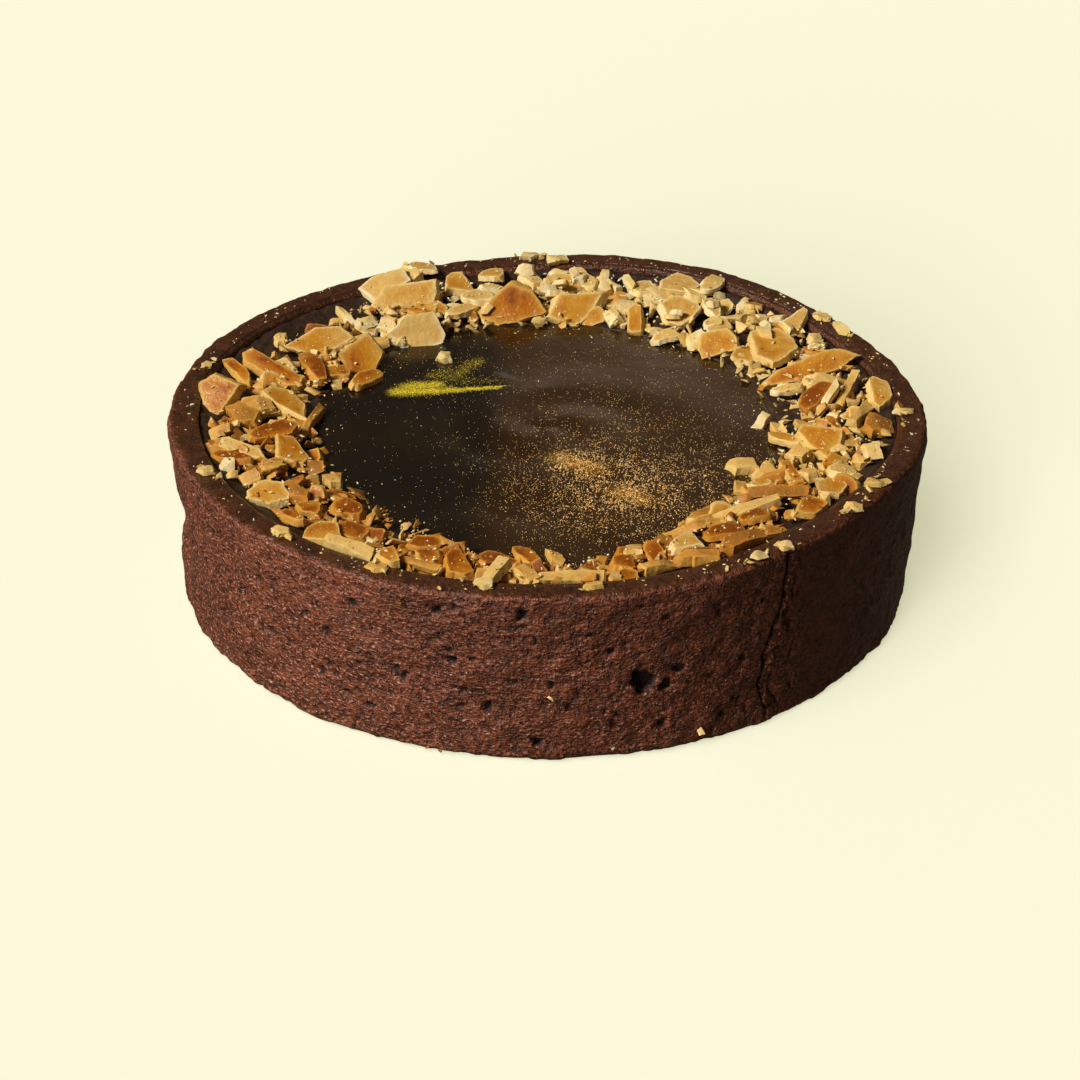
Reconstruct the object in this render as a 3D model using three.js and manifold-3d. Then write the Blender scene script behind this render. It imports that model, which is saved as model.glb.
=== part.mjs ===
// A 20 cm chocolate tart: a deep ring of chocolate shortcrust, a dark ganache filling, and a ring of
// broken toasted almonds heaped against the inside of the rim. Millimetres, +Z up, the origin at the
// middle of the base. Angles are in degrees round the tart, 0 at +X and 90 at the back.
import * as THREE from 'three';
import { mergeVertices } from 'three/addons/utils/BufferGeometryUtils.js';
import wasm from 'manifold-3d';

// ---- driving sizes ----
const rimRadius = 100;        // outside of the rim
const baseRadius = 99;        // outside at the foot
const crustHeight = 48;
const crustThickness = 8;
const floorThickness = 6;
const fillingLevel = 41.5;
const gap = 0.3;              // between neighbouring pieces
const outOfRound = [[2, 0.6, 0.8], [3, -0.2, 0.5], [4, 0.7, -0.9], [5, 0.7, -0.2], [6, 0.4, -0.1]];

const crustSteps = 90;        // round the crust
const fillingSteps = 60;
const heapSteps = 60;

const heapInside = 61.5;      // where the almonds begin
const coreBelowFlakes = 0.95;  // how far the heap's core lies under the middle of its flakes
const frontThinning = { at: -90, by: 15, spread: 26 };   // the ring is narrower at the front

// Flakes by kind: corners of the outline, bluntness (1 pointed, 0.5 squarish), thickness and the
// share of the length that is broken off.
const kinds = {
  whole: { corners: 8, blunt: 1.1, thick: 2.0, broken: 0 },
  half: { corners: 7, blunt: 0.85, thick: 1.8, broken: 0.25 },
  wedge: { corners: 5, blunt: 0.9, thick: 2.4, broken: 0 },
  block: { corners: 5, blunt: 0.6, thick: 3.0, broken: 0.1 },
  stick: { corners: 4, blunt: 0.5, thick: 2.3, broken: 0 },
  nib: { corners: 4, blunt: 0.8, thick: 2.8, broken: 0.1 },
  crumb: { corners: 5, blunt: 0.9, thick: 2.2, broken: 0 },
  // drawn by eye, their corners in percent of the length and width
  moon: { thick: 3.2, drawn: [
    [-50, 15], [-38, -15], [0, -32], [28, -50], [48, -46], [50, 22], [34, 50], [-42, 38],
  ] },
  rhombus: { thick: 3.4, drawn: [[-50, 50], [-45, -35], [-5, -50], [50, -50], [2, 50]] },
  sliver: { thick: 2.6, drawn: [
    [-50, -30], [-25, -48], [25, -50], [50, -15], [40, 20], [10, 50], [-30, 38], [-48, 5],
  ] },
  slab: { thick: 2.4, drawn: [
    [-50, 25], [-42, -12], [-22, -47], [8, -50], [38, -38], [50, -10], [40, 32], [-20, 50],
  ] },
  leaf: { thick: 2.0, drawn: [[-50, 50], [-22, -50], [48, -46], [45, 0], [5, 45]] },
  gem: { thick: 2.2, drawn: [[-50, 20], [-20, -50], [35, -50], [50, -20], [45, 40], [-5, 50]] },
  boat: { thick: 2.2, drawn: [[-50, -5], [-15, -50], [20, -40], [45, -10], [50, 50], [-25, 50]] },
  tile: { thick: 2.0, drawn: [[-50, 40], [-45, -50], [40, -50], [50, 10], [-15, 50]] },
  diamond: { thick: 2.2, drawn: [[-50, -25], [-25, -50], [45, -10], [50, 45], [-30, 50]] },
  plank: { thick: 2.6, drawn: [[-50, 10], [-48, -45], [40, -50], [50, 0], [40, 42], [-35, 50]] },
  tooth: { thick: 2.6, drawn: [[-50, -20], [-45, -50], [40, -38], [50, 0], [25, 35], [-30, 50]] },
  plate: { thick: 2.8, drawn: [[-50, -5], [-48, -50], [50, -48], [40, 30], [5, 50]] },
  fan: { thick: 2.2, drawn: [[-50, 50], [-50, -20], [-35, -50], [10, -35], [50, -12], [50, 12], [10, 36]] },
  shard: { thick: 1.8, drawn: [[-50, -50], [-12, -48], [35, -8], [50, 28], [44, 48], [-50, 50]] },
};

// The larger almond pieces as they lie: kind, angle round the tart, distance out, length, width,
// heading of the long side, and how far the piece is tipped up towards the front.
const slices = [
  // right side
  ['slab', 5, 91, 12.5, 8, 105, 20], ['half', 7, 74, 19, 8.5, 60, 0], ['stick', 7, 82, 22, 2.8, 70, 20],
  ['stick', 4, 76, 16, 2.4, 60, 30], ['stick', 1, 86, 21, 3.6, 65, 0], ['half', 14, 68, 10, 5, 5, 0],
  ['sliver', 20, 78, 30, 7, 25, 40], ['nib', 29, 87, 5, 5, 20, 10], ['slab', 32, 75, 22, 14, 105, 0],
  ['gem', 36, 83, 9, 8, 125, 10], ['shard', 36, 89, 11, 6.5, 45, 30],
  ['plank', 43, 67, 12.5, 8.5, 20, 30], ['wedge', 47, 80, 8, 6, 40, 0], ['half', 47, 73, 8, 10, 175, 0],
  ['block', 49, 65, 8, 8, 30, 0], ['half', 53, 80, 13, 5, 105, 0], ['half', 57, 62, 9, 7, 25, 0],
  ['half', 58, 91, 11, 7, 65, 10],
  // back
  ['slab', 59, 74, 14.5, 13, 120, 10], ['block', 60, 86, 11, 7, 115, 0],
  ['gem', 64, 88, 12, 12, 55, 10], ['wedge', 66, 80, 13, 11, 50, 0], ['plank', 67, 66, 11, 5.2, 90, 20],
  ['half', 70, 82, 10, 9, 30, 0], ['block', 71, 72, 8, 8, 160, 0], ['nib', 73, 66, 5, 5, 25, 10],
  ['stick', 77, 83, 12, 3, 120, 0], ['half', 82, 84, 13, 8, 130, 10],
  ['rhombus', 83, 69, 16, 15, 70, 30], ['tile', 86, 81, 11.5, 8.5, 20, 30],
  ['block', 87, 87, 10, 7, 65, 0], ['nib', 88, 93, 7, 4, 20, 30], ['moon', 99, 67, 18.5, 15, 50, 40],
  ['half', 101, 86, 8, 9, 5, 0], ['block', 102, 78, 9, 8, 50, 0], ['half', 106, 74, 10, 9, 25, 0],
  ['tooth', 108, 84, 14, 9.5, 105, 10], ['half', 111, 69, 12, 6, 35, 0],
  ['half', 113, 93, 11, 8, 130, 0], ['nib', 116, 89, 6, 5, 125, 20],
  // back left
  ['boat', 121, 79, 21, 11.5, 10, 40], ['tile', 122, 89, 15.5, 10, 40, 30],
  ['gem', 126, 64, 17.5, 12.5, 30, 40], ['nib', 130, 71, 6, 5, 170, 10], ['nib', 134, 74, 7, 4, 30, 30],
  ['stick', 135, 81, 12, 2.4, 115, 0], ['leaf', 147, 76, 20, 12, 45, 20],
  ['diamond', 145, 62, 15, 13, 55, 30], ['half', 154, 56, 13.5, 6, 50, 0],
  ['half', 155, 65, 8, 7, 20, 0], ['half', 157, 70, 18, 6.5, 110, 0],
  ['plank', 163, 79, 20.5, 7, 145, 30], ['half', 166, 87, 16.5, 4.8, 120, 10],
  // left side
  ['plate', 176, 90, 14, 13, 60, 40], ['gem', 176, 70, 19, 7, 135, 10],
  ['block', 179, 78, 11, 8, 160, 20], ['stick', -177, 64, 24, 2.7, 75, 0],
  ['block', -177, 81, 12, 8, 130, 0], ['half', -170, 74, 15, 7.5, 30, 10],
  ['nib', -171, 87, 7, 4, 20, 30], ['diamond', -162, 70, 14.5, 9, 100, 10],
  ['gem', -163, 82, 17, 4.6, 150, 20], ['half', -161, 86, 13, 5, 160, 0],
  ['nib', -156, 78, 7, 5, 30, 20], ['nib', -153, 85, 6, 5, 30, 20],
  // front left
  ['slab', -146, 85, 12, 8.5, 170, 20], ['block', -144, 79, 12.5, 5.5, 120, 0],
  ['half', -136, 88, 9, 4, 140, 0], ['half', -137, 81, 9, 6.5, 115, 0],
  ['half', -132, 74, 11, 7.5, 145, 10], ['tooth', -129, 88, 10.5, 10, 95, 0],
  ['half', -126, 82, 11.5, 8.5, 155, 0], ['stick', -122, 91, 13.5, 3.8, 155, 10],
  ['half', -113, 78, 9.5, 5.5, 15, 20], ['plate', -115, 92, 7.5, 6, 105, 0],
  ['half', -110, 84, 8, 7.5, 100, 0], ['stick', -110, 89, 12, 3, 160, 0],
  ['tooth', -105, 85, 14.5, 7, 105, 0],
  // front
  ['half', -98, 78, 12, 8, 160, 10], ['stick', -98, 91, 14, 4.2, 65, 0],
  ['half', -93, 73, 14, 5.5, 120, 10], ['block', -88, 72, 8, 4, 115, 10],
  ['stick', -86, 88, 18, 4.4, 0, 20], ['half', -77, 84, 7, 8, 0, 0], ['stick', -71, 87, 12, 3, 25, 0],
  ['plate', -64, 79, 9, 8.5, 15, 0], ['half', -64, 85, 12, 6, 10, 0], ['block', -65, 88, 12, 4.5, 0, 0],
  // front right
  ['stick', -58, 71, 17, 3.4, 20, 20], ['half', -56, 79, 12, 7, 20, 0],
  ['block', -56, 87, 13.5, 5, 30, 10], ['half', -52, 66, 14.5, 6.5, 35, 0],
  ['half', -48, 78, 9, 6, 25, 0], ['stick', -46, 74, 19, 4.2, 25, 10], ['gem', -40, 87, 11, 7, 55, 0],
  ['stick', -37, 74, 18, 3.8, 5, 30], ['nib', -37, 63, 6, 4, 90, 20], ['half', -34, 66, 7, 6, 20, 0],
  ['gem', -31, 85, 9, 7, 60, 0], ['plank', -28, 72, 14, 4, 105, 0], ['wedge', -27, 77, 7, 7, 160, 0],
  ['gem', -24, 85, 10, 6, 165, 0], ['nib', -18, 70, 6, 5, 135, 10], ['nib', -16, 89, 6, 5, 100, 20],
  ['fan', -12, 74, 13, 13, 145, 20], ['half', -10, 65, 12.5, 5.5, 130, 0],
  ['block', -6, 89, 8.5, 8.5, 5, 10],
];
const chipSettle = 0.9;        // middle of a stray chip above what it lies on
const looseSlices = { tries: 90, spacing: 8, smallest: 6, largest: 10, seed: 20 };

// Stray chips: kind, angle, distance out, length, width, heading.
const chipsOnFilling = [
  ['stick', 2, 58.5, 8, 3.6, 60], ['block', -25, 56.5, 9, 7, 10], ['crumb', 126, 49, 5, 5, 10],
];
const chipsOnRim = [
  ['crumb', -156, 95.5, 5.5, 4, 160], ['crumb', -115, 96, 6, 5, 150], ['crumb', -99, 96, 5, 5, 0],
  ['crumb', -83, 96, 5.5, 3, 10], ['crumb', -133, 96, 6, 4, 135], ['crumb', -2, 96, 7, 3.5, 15],
  ['crumb', 29, 96, 8, 4, 110], ['crumb', 35, 96, 7, 5, 120], ['crumb', 93, 96, 7, 5, 30],
  ['crumb', 167, 96, 3, 4, 0], ['crumb', -57, 96, 5, 3.5, 20], ['crumb', -52, 96, 5.5, 3, 150],
  ['crumb', -36, 96, 5.5, 4.5, 5], ['crumb', -27, 95.5, 8, 4.5, 30], ['crumb', 114, 96, 8, 6, 10],
];

// The crust's marks on its outer wall: angle, height above the base, width, height, depth.
const pits = [
  [-118, 39.5, 2.2, 3, 1.6], [-105, 42, 2.4, 3, 1.8], [-93, 42.5, 2.6, 3.6, 2], [-134, 21, 2.4, 2.6, 1.6],
  [-124, 15.7, 3, 2.6, 1.8], [-103, 28, 2.4, 2.4, 1.6], [-98, 15, 2, 4, 1.6], [-116, 9.5, 2.6, 2.6, 1.8],
  [-89, 22.6, 1.8, 2.6, 1.4], [-91, 5.5, 2, 3, 1.6], [-76, 22, 5.6, 7, 3.6], [-72.5, 20, 3, 3.4, 2],
  [-70.5, 23.5, 2.2, 2.6, 1.6], [-30, 26, 2.2, 4, 1.6], [40, 30, 2.6, 3, 1.6], [75, 18, 3, 3.4, 2],
  [110, 33, 2.4, 3, 1.6], [140, 14, 3, 2.6, 1.8],
];
const seam = { line: [[-52, 47], [-53, 34], [-56, 23], [-57, 13], [-56, 4]], width: 1.1, depth: 1.3 };
const dent = { at: -172, spread: 11, depth: 2.4, top: 36, low: 13 };   // waist in the wall at the left
const graininess = 0.35;

// ---- helpers ----
const radians = THREE.MathUtils.degToRad;
const clamp = THREE.MathUtils.clamp;
const smooth = THREE.MathUtils.smoothstep;

class Dice {
  constructor(seed) {
    this.state = seed;
  }

  between(low, high) {
    this.state = (this.state * 16807) % 2147483647;
    return low + (high - low) * this.state / 2147483647;
  }
}

// Shortest way round from one angle to another.
function apart(a, b) {
  return ((a - b + 540) % 360 + 360) % 360 - 180;
}

// A closed solid from rings of [radius, height] round the axis: the first and last ring are points.
function ringSolid(steps, profileAt) {
  const rings = profileAt(0).length - 2;
  const positions = [];
  for (let step = 0; step < steps; step++) {
    const angle = 360 * step / steps;
    for (const [radius, height] of profileAt(angle).slice(1, -1)) {
      positions.push(radius * Math.cos(radians(angle)), radius * Math.sin(radians(angle)), height);
    }
  }
  const ends = profileAt(0);
  const first = positions.length / 3;
  positions.push(0, 0, ends[0][1], 0, 0, ends[ends.length - 1][1]);
  const faces = [];
  for (let step = 0; step < steps; step++) {
    const here = step * rings;
    const next = (step + 1) % steps * rings;
    faces.push(first, next, here, first + 1, here + rings - 1, next + rings - 1);
    for (let ring = 0; ring < rings - 1; ring++) {
      faces.push(here + ring, next + ring, next + ring + 1, here + ring, next + ring + 1, here + ring + 1);
    }
  }
  return solidGeometry(positions, faces);
}

function solidGeometry(positions, faces) {
  const geometry = new THREE.BufferGeometry();
  geometry.setAttribute('position', new THREE.Float32BufferAttribute(positions, 3));
  geometry.setIndex(faces);
  return geometry;
}

const { Manifold, Mesh: SolidMesh } = await (async () => {
  const kit = await wasm();
  kit.setup();
  return kit;
})();

function toSolid(geometry) {
  const bare = geometry.clone();
  bare.deleteAttribute('normal');
  bare.deleteAttribute('uv');
  const joined = mergeVertices(bare, 1e-4);
  return new Manifold(new SolidMesh({
    numProp: 3,
    vertProperties: new Float32Array(joined.attributes.position.array),
    triVerts: new Uint32Array(joined.index.array),
  }));
}

function toGeometry(solid) {
  const mesh = solid.getMesh();
  return solidGeometry(Array.from(mesh.vertProperties), Array.from(mesh.triVerts));
}

function addAll(solid, others) {
  return others.reduce((whole, other) => whole.add(other), solid);
}

// ---- the tart's own forms ----
function rimAt(angle) {
  return outOfRound.reduce((radius, [waves, cos, sin]) => (
    radius + cos * Math.cos(radians(waves * angle)) + sin * Math.sin(radians(waves * angle))), rimRadius);
}

// Fine unevenness of the baked wall, about one unit high each way.
function grain(angle, height) {
  return 0.5 * Math.sin(radians(11 * angle) + height * 0.21)
    + 0.3 * Math.sin(radians(23 * angle) - height * 0.37)
    + 0.3 * Math.sin(radians(41 * angle) + height * 0.55 + 1.3);
}

function dentAt(angle, height) {
  const round = Math.exp(-((apart(angle, dent.at) / dent.spread) ** 2));
  return dent.depth * round * smooth(height, dent.low - 1, dent.low + 3)
    * (1 - smooth(height, dent.low + 9, dent.top));
}

function outerWallAt(angle, height) {
  const up = height / crustHeight;
  const straight = baseRadius + (rimAt(angle) - baseRadius) * up;
  return straight - dentAt(angle, height) + graininess * grain(angle, height);
}

function innerWallAt(angle) {
  return rimAt(angle) - crustThickness;
}

function crustProfile(angle) {
  const wallHeights = [2.8, 7, 12, 16, 22, 28, 34, 40, 44.8];
  const foot = outerWallAt(angle, 0);
  const shoulder = outerWallAt(angle, crustHeight);
  const inside = innerWallAt(angle);
  const top = crustHeight + 0.2 * grain(angle, 20);
  return [
    [0, 0], [foot - 2.6, 0], [foot - 0.9, 0.7],
    ...wallHeights.map((height) => [outerWallAt(angle, height), height]),
    [shoulder - 0.8, crustHeight - 0.9], [shoulder - 2.5, top], [inside + 1.9, top],
    [inside + 0.4, crustHeight - 0.7], [inside, crustHeight - 2.4], [inside, floorThickness + 2],
    [inside - 2, floorThickness], [0, floorThickness],
  ];
}

function heapInsideAt(angle) {
  const offFront = apart(angle, frontThinning.at) / frontThinning.spread;
  return heapInside + frontThinning.by * Math.exp(-(offFront ** 2));
}

// 0 where the almonds begin, 1 at the crust.
function heapShare(angle, out) {
  const inside = heapInsideAt(angle);
  return (out - inside) / (innerWallAt(angle) - inside);
}

function heapRise(angle, out) {
  const share = heapShare(angle, out);
  const bank = 1.3 + 3.6 * smooth(share, -0.1, 0.5);
  return bank + (crustHeight + 1 - fillingLevel - bank) * smooth(share, 0.75, 1.02);
}

// Lean of the pieces towards the middle on the inner slope, and away from it near the rim.
function heapLean(angle, out) {
  return 14 * clamp(1 - heapShare(angle, out) / 0.6, -0.6, 1);
}

// ---- almond flakes ----
// Corners of a flake that fill its length and width. The broken end is a straight cut.
function flakeOutline(kind, long, wide, dice) {
  const { corners, blunt, broken, drawn } = kinds[kind];
  if (drawn) {
    return drawn.map(([x, y]) => [long * x / 100, wide * y / 100]);
  }
  const start = blunt > 1 ? 0 : 0.5;
  const bulge = (side) => Math.sign(side) * Math.abs(side) ** blunt;
  const points = [];
  for (let corner = 0; corner < corners; corner++) {
    const turn = 2 * Math.PI * (corner + start + dice.between(-0.18, 0.18)) / corners;
    const rough = dice.between(0.88, 1);
    points.push([Math.min(bulge(Math.cos(turn)) * rough, 1 - 2 * broken), bulge(Math.sin(turn)) * rough]);
  }
  const fitted = (values, size) => {
    const low = Math.min(...values);
    const high = Math.max(...values);
    return values.map((value) => size * ((value - low) / (high - low) - 0.5));
  };
  const along = fitted(points.map(([x]) => x), long);
  const across = fitted(points.map(([, y]) => y), wide);
  return along.map((x, corner) => [x, across[corner]]);
}

// A flake as a low prism with bevelled top and a slightly crowned middle, laid in its place. A
// cutter that leaves room round it is the same flake grown by a margin.
function flake([kind, angle, out, long, wide, heading, tip = 0], level, leanOf, margin = 0) {
  const dice = new Dice(1000 + Math.round(131 * (angle + 180) + 17 * out + 7 * long));
  const outline = flakeOutline(kind, long, wide, dice)
    .map(([x, y]) => [x * (1 + 2 * margin / long), y * (1 + 2 * margin / wide)]);
  const half = kinds[kind].thick * dice.between(0.85, 1.15) / 2 + margin;
  const lean = radians(leanOf(angle, out));
  const face = new THREE.Vector3(
    -Math.cos(radians(angle)) * Math.sin(lean), -Math.sin(radians(angle)) * Math.sin(lean), Math.cos(lean));
  face.applyAxisAngle(new THREE.Vector3(1, 0, 0), radians(tip));
  const along = new THREE.Vector3(Math.cos(radians(heading)), Math.sin(radians(heading)), 0);
  along.addScaledVector(face, -along.dot(face)).normalize();
  const across = new THREE.Vector3().crossVectors(face, along);
  const middle = new THREE.Vector3(out * Math.cos(radians(angle)), out * Math.sin(radians(angle)), level);
  const place = (x, y, z) => middle.clone().addScaledVector(along, x).addScaledVector(across, y)
    .addScaledVector(face, z).toArray();

  const corners = outline.length;
  const positions = [];
  outline.forEach(([x, y]) => positions.push(...place(x, y, -half)));
  outline.forEach(([x, y]) => positions.push(...place(0.88 * x, 0.88 * y, half)));
  positions.push(...place(0, 0, -half), ...place(0, 0, 1.25 * half));
  const faces = [];
  for (let corner = 0; corner < corners; corner++) {
    const next = (corner + 1) % corners;
    faces.push(corner, next, corners + next, corner, corners + next, corners + corner);
    faces.push(2 * corners, next, corner, 2 * corners + 1, corners + corner, corners + next);
  }
  return toSolid(solidGeometry(positions, faces));
}

const flat = () => 0;

function rimChips(margin) {
  return chipsOnRim.map((chip) => flake(chip, crustHeight + chipSettle, flat, margin));
}

function fillingChips(margin) {
  return chipsOnFilling.map((chip) => flake(chip, fillingLevel + chipSettle, flat, margin));
}

// Smaller flakes between the listed ones, at random but never too near another.
function looseFlakes() {
  const dice = new Dice(looseSlices.seed);
  const taken = slices.map(([, angle, out]) => [angle, out]);
  const loose = [];
  const tooNear = (angle, out) => taken.some(([otherAngle, otherOut]) => (
    Math.hypot(radians(apart(angle, otherAngle)) * out, out - otherOut) < looseSlices.spacing));
  for (let attempt = 0; attempt < looseSlices.tries; attempt++) {
    const angle = dice.between(-180, 180);
    const inside = heapInsideAt(angle) + 2;
    const out = dice.between(inside, innerWallAt(angle) - 3);
    const long = dice.between(looseSlices.smallest, looseSlices.largest);
    const wide = long * dice.between(0.5, 0.9);
    const heading = dice.between(0, 180);
    const kind = dice.between(0, 1) < 0.5 ? 'nib' : 'wedge';
    if (!tooNear(angle, out)) {
      taken.push([angle, out]);
      loose.push([kind, angle, out, long, wide, heading, 0]);
    }
  }
  return loose;
}

// ---- the pieces ----
function crust() {
  let solid = toSolid(ringSolid(crustSteps, crustProfile));
  for (const [angle, height, wide, tall, deep] of pits) {
    const pit = new THREE.IcosahedronGeometry(1, wide > 5 ? 1 : 0);
    pit.scale(deep, wide / 2, tall / 2);
    pit.rotateZ(radians(angle));
    const out = outerWallAt(angle, height);
    pit.translate(out * Math.cos(radians(angle)), out * Math.sin(radians(angle)), height);
    solid = solid.subtract(toSolid(pit));
  }
  solid = solid.subtract(seamCutter());
  return addAll(solid, rimChips(0));
}

// A narrow V that follows the seam down the wall, open to the outside.
function seamCutter() {
  const positions = [];
  for (const [angle, height] of seam.line) {
    const out = outerWallAt(angle, height);
    const slant = 90 * seam.width / (Math.PI * out);
    for (const [turn, depth] of [[-slant, -1], [slant, -1], [0, seam.depth]]) {
      const way = radians(angle + turn);
      positions.push((out - depth) * Math.cos(way), (out - depth) * Math.sin(way), height);
    }
  }
  const faces = [0, 1, 2];
  const stations = seam.line.length;
  for (let station = 0; station < stations - 1; station++) {
    for (let side = 0; side < 3; side++) {
      const a = 3 * station + side;
      const b = 3 * station + (side + 1) % 3;
      faces.push(a, a + 3, b, b, a + 3, b + 3);
    }
  }
  const last = 3 * (stations - 1);
  faces.push(last, last + 2, last + 1);
  return toSolid(solidGeometry(positions, faces));
}

function ganache() {
  const wave = (angle, out) => 0.12 * Math.sin(radians(3 * angle) + out * 0.09) * (out < 55 ? 1 : 0);
  const under = floorThickness + gap;
  const solid = toSolid(ringSolid(fillingSteps, (angle) => {
    const edge = innerWallAt(angle) - gap;
    return [
      [0, under], [edge - 2, under], [edge, floorThickness + 2 + gap], [edge, fillingLevel],
      ...[60, 40, 20].map((out) => [out, fillingLevel + wave(angle, out)]), [0, fillingLevel],
    ];
  }));
  return addAll(solid, fillingChips(0));
}

// The heap's own core: a low bumpy bank that the flakes lie on.
function heapCore() {
  const bottom = fillingLevel + gap;
  const bump = (angle, out) => 0.35 * Math.sin(radians(17 * angle) + out) * Math.sin(radians(5 * angle + 40));
  const outer = toSolid(ringSolid(heapSteps, (angle) => {
    const inside = heapInsideAt(angle) + 3;
    const outside = innerWallAt(angle) - gap;
    const top = (share) => {
      const out = inside + (outside - inside) * share;
      return [out, fillingLevel + heapRise(angle, out) - coreBelowFlakes + bump(angle, out)];
    };
    return [[0, bottom], [outside, bottom], top(1), top(0.8), top(0.35), top(0.02), [0, bottom + 0.6]];
  }));
  const middle = toSolid(ringSolid(heapSteps, (angle) => {
    const inside = heapInsideAt(angle) + 3;
    return [[0, bottom - 2], [inside, bottom - 2], [inside, bottom + 4], [0, bottom + 4]];
  }));
  return outer.subtract(middle);
}

// Where almonds may be: over the filling, inside the crust, and clear over its rim.
function heapRoom() {
  const low = fillingLevel + gap;
  const overRim = crustHeight + 0.2 + gap;
  const sky = crustHeight + 20;
  return toSolid(ringSolid(crustSteps, (angle) => {
    const inside = innerWallAt(angle) - gap;
    const reach = rimRadius - 2;
    return [[0, low], [inside, low], [inside, overRim], [reach, overRim], [reach, sky], [0, sky]];
  }));
}

function almonds() {
  const laid = [...slices, ...looseFlakes()];
  const pieces = laid.map((row) => flake(row, fillingLevel + heapRise(row[1], row[2]), heapLean));
  const heap = addAll(heapCore(), pieces).intersect(heapRoom());
  const chips = [...rimChips(2 * gap), ...fillingChips(2 * gap)];
  const clear = chips.reduce((solid, chip) => solid.subtract(chip), heap);
  const bodies = clear.decompose();
  return bodies.reduce((largest, body) => (body.volume() > largest.volume() ? body : largest));
}

// ---- the whole ----
function node(name, solid, colour, roughness) {
  const material = new THREE.MeshStandardMaterial({ color: colour, roughness, metalness: 0 });
  const mesh = new THREE.Mesh(toGeometry(solid), material);
  mesh.name = name;
  return mesh;
}

const tart = new THREE.Group();
tart.name = 'chocolate_tart';
tart.add(node('crust', crust(), 0x3b1d14, 0.75));
tart.add(node('ganache', ganache(), 0x1d130d, 0.35));
tart.add(node('almonds', almonds(), 0xd9a150, 0.55));

export default tart;
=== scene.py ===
import math
import bmesh
import bpy
import numpy as np
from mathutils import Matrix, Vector


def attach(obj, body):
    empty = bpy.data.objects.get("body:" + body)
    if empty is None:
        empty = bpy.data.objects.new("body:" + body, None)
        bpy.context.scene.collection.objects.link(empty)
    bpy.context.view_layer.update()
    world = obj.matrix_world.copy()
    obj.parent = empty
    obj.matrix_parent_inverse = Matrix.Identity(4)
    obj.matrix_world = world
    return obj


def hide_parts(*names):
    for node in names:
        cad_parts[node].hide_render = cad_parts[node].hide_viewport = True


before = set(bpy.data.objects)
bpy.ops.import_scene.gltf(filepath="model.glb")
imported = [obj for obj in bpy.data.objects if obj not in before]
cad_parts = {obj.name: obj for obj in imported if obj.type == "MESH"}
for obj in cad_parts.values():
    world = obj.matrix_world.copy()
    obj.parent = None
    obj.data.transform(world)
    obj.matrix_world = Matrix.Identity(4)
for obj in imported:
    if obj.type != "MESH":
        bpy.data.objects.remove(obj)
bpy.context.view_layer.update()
print("frame loaded")

mm = 0.001

# sizes in millimetres and degrees, as the solids have them
tart = dict(
    rimRadius=100, baseRadius=99, height=48, wall=8, floor=6, fillingLevel=41.5,
    outOfRound=[(2, 0.6, 0.8), (3, -0.2, 0.5), (4, 0.7, -0.9), (5, 0.7, -0.2), (6, 0.4, -0.1)],
    heapInside=61.5, frontThinning=dict(at=-90, by=15, spread=26),
    heapFoot=1.3, heapBank=3.6, heapLean=14,         # how the heap rises and its pieces lean
    dent=dict(at=-172, spread=11, depth=2.4, top=36, low=13),
    graininess=0.35,
)


# small tools for numbers and meshes

class Dice:
    # the same plain dice as the solids throw
    def __init__(self, seed):
        self.state = seed

    def between(self, low, high):
        self.state = self.state * 16807 % 2147483647
        return low + (high - low) * self.state / 2147483647


def smoothStep(value, low, high):
    part = np.clip((value - low) / (high - low), 0, 1)
    return part * part * (3 - 2 * part)


def apart(a, b):
    return (a - b + 180) % 360 - 180


def valueNoise(points, size, seed):
    # smooth noise from -1 to 1 on a lattice of the given size
    cell = np.asarray(points, float) / size
    base = np.floor(cell).astype(np.int64)
    part = cell - base
    part = part * part * (3 - 2 * part)
    total = np.zeros(len(cell))
    for corner in range(8):
        step = np.array([corner & 1, corner >> 1 & 1, corner >> 2 & 1])
        key = (base + step) * np.array([73856093, 19349663, 83492791])      # large primes
        mixed = (key[:, 0] ^ key[:, 1] ^ key[:, 2] ^ seed * 374761393) & 0x7FFFFFFF
        mixed = (mixed ^ mixed >> 13) * 1274126177 & 0x7FFFFFFF
        mixed = (mixed ^ mixed >> 16) & 0xFFFF
        total += np.prod(np.where(step, part, 1 - part), axis=1) * (mixed / 32767.5 - 1)
    return total


def lumpsOf(points, lumps):
    # noise in layers, each with its size, its height and its seed
    return sum(height * valueNoise(points, size, seed) for size, height, seed in lumps)


def inPlan(angle, out, height):
    # points from their direction in degrees, their distance from the axis and their height
    turn = np.radians(angle)
    return np.stack([out * np.cos(turn), out * np.sin(turn), height + 0 * turn], axis=-1)


def gridFaces(around, rings, looped=False):
    # quads between rings of points, each ring closed round the axis; looped joins the last to the first
    here = np.arange(around)
    after = (here + 1) % around
    row = np.arange(rings if looped else rings - 1)[:, None] * around
    above = (row + around) % (around * rings)
    return np.stack([row + here, row + after, above + after, above + here], axis=-1).reshape(-1, 4)


def fanFaces(around, rings):
    # triangles that close the first ring and the last, round the two points that follow the rings
    here = np.arange(around)
    after = (here + 1) % around
    middle, last = np.full(around, around * rings), around * (rings - 1)
    ends = (middle, after, here), (middle + 1, last + here, last + after)
    return np.vstack([np.stack(corners, axis=1) for corners in ends])


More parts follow.
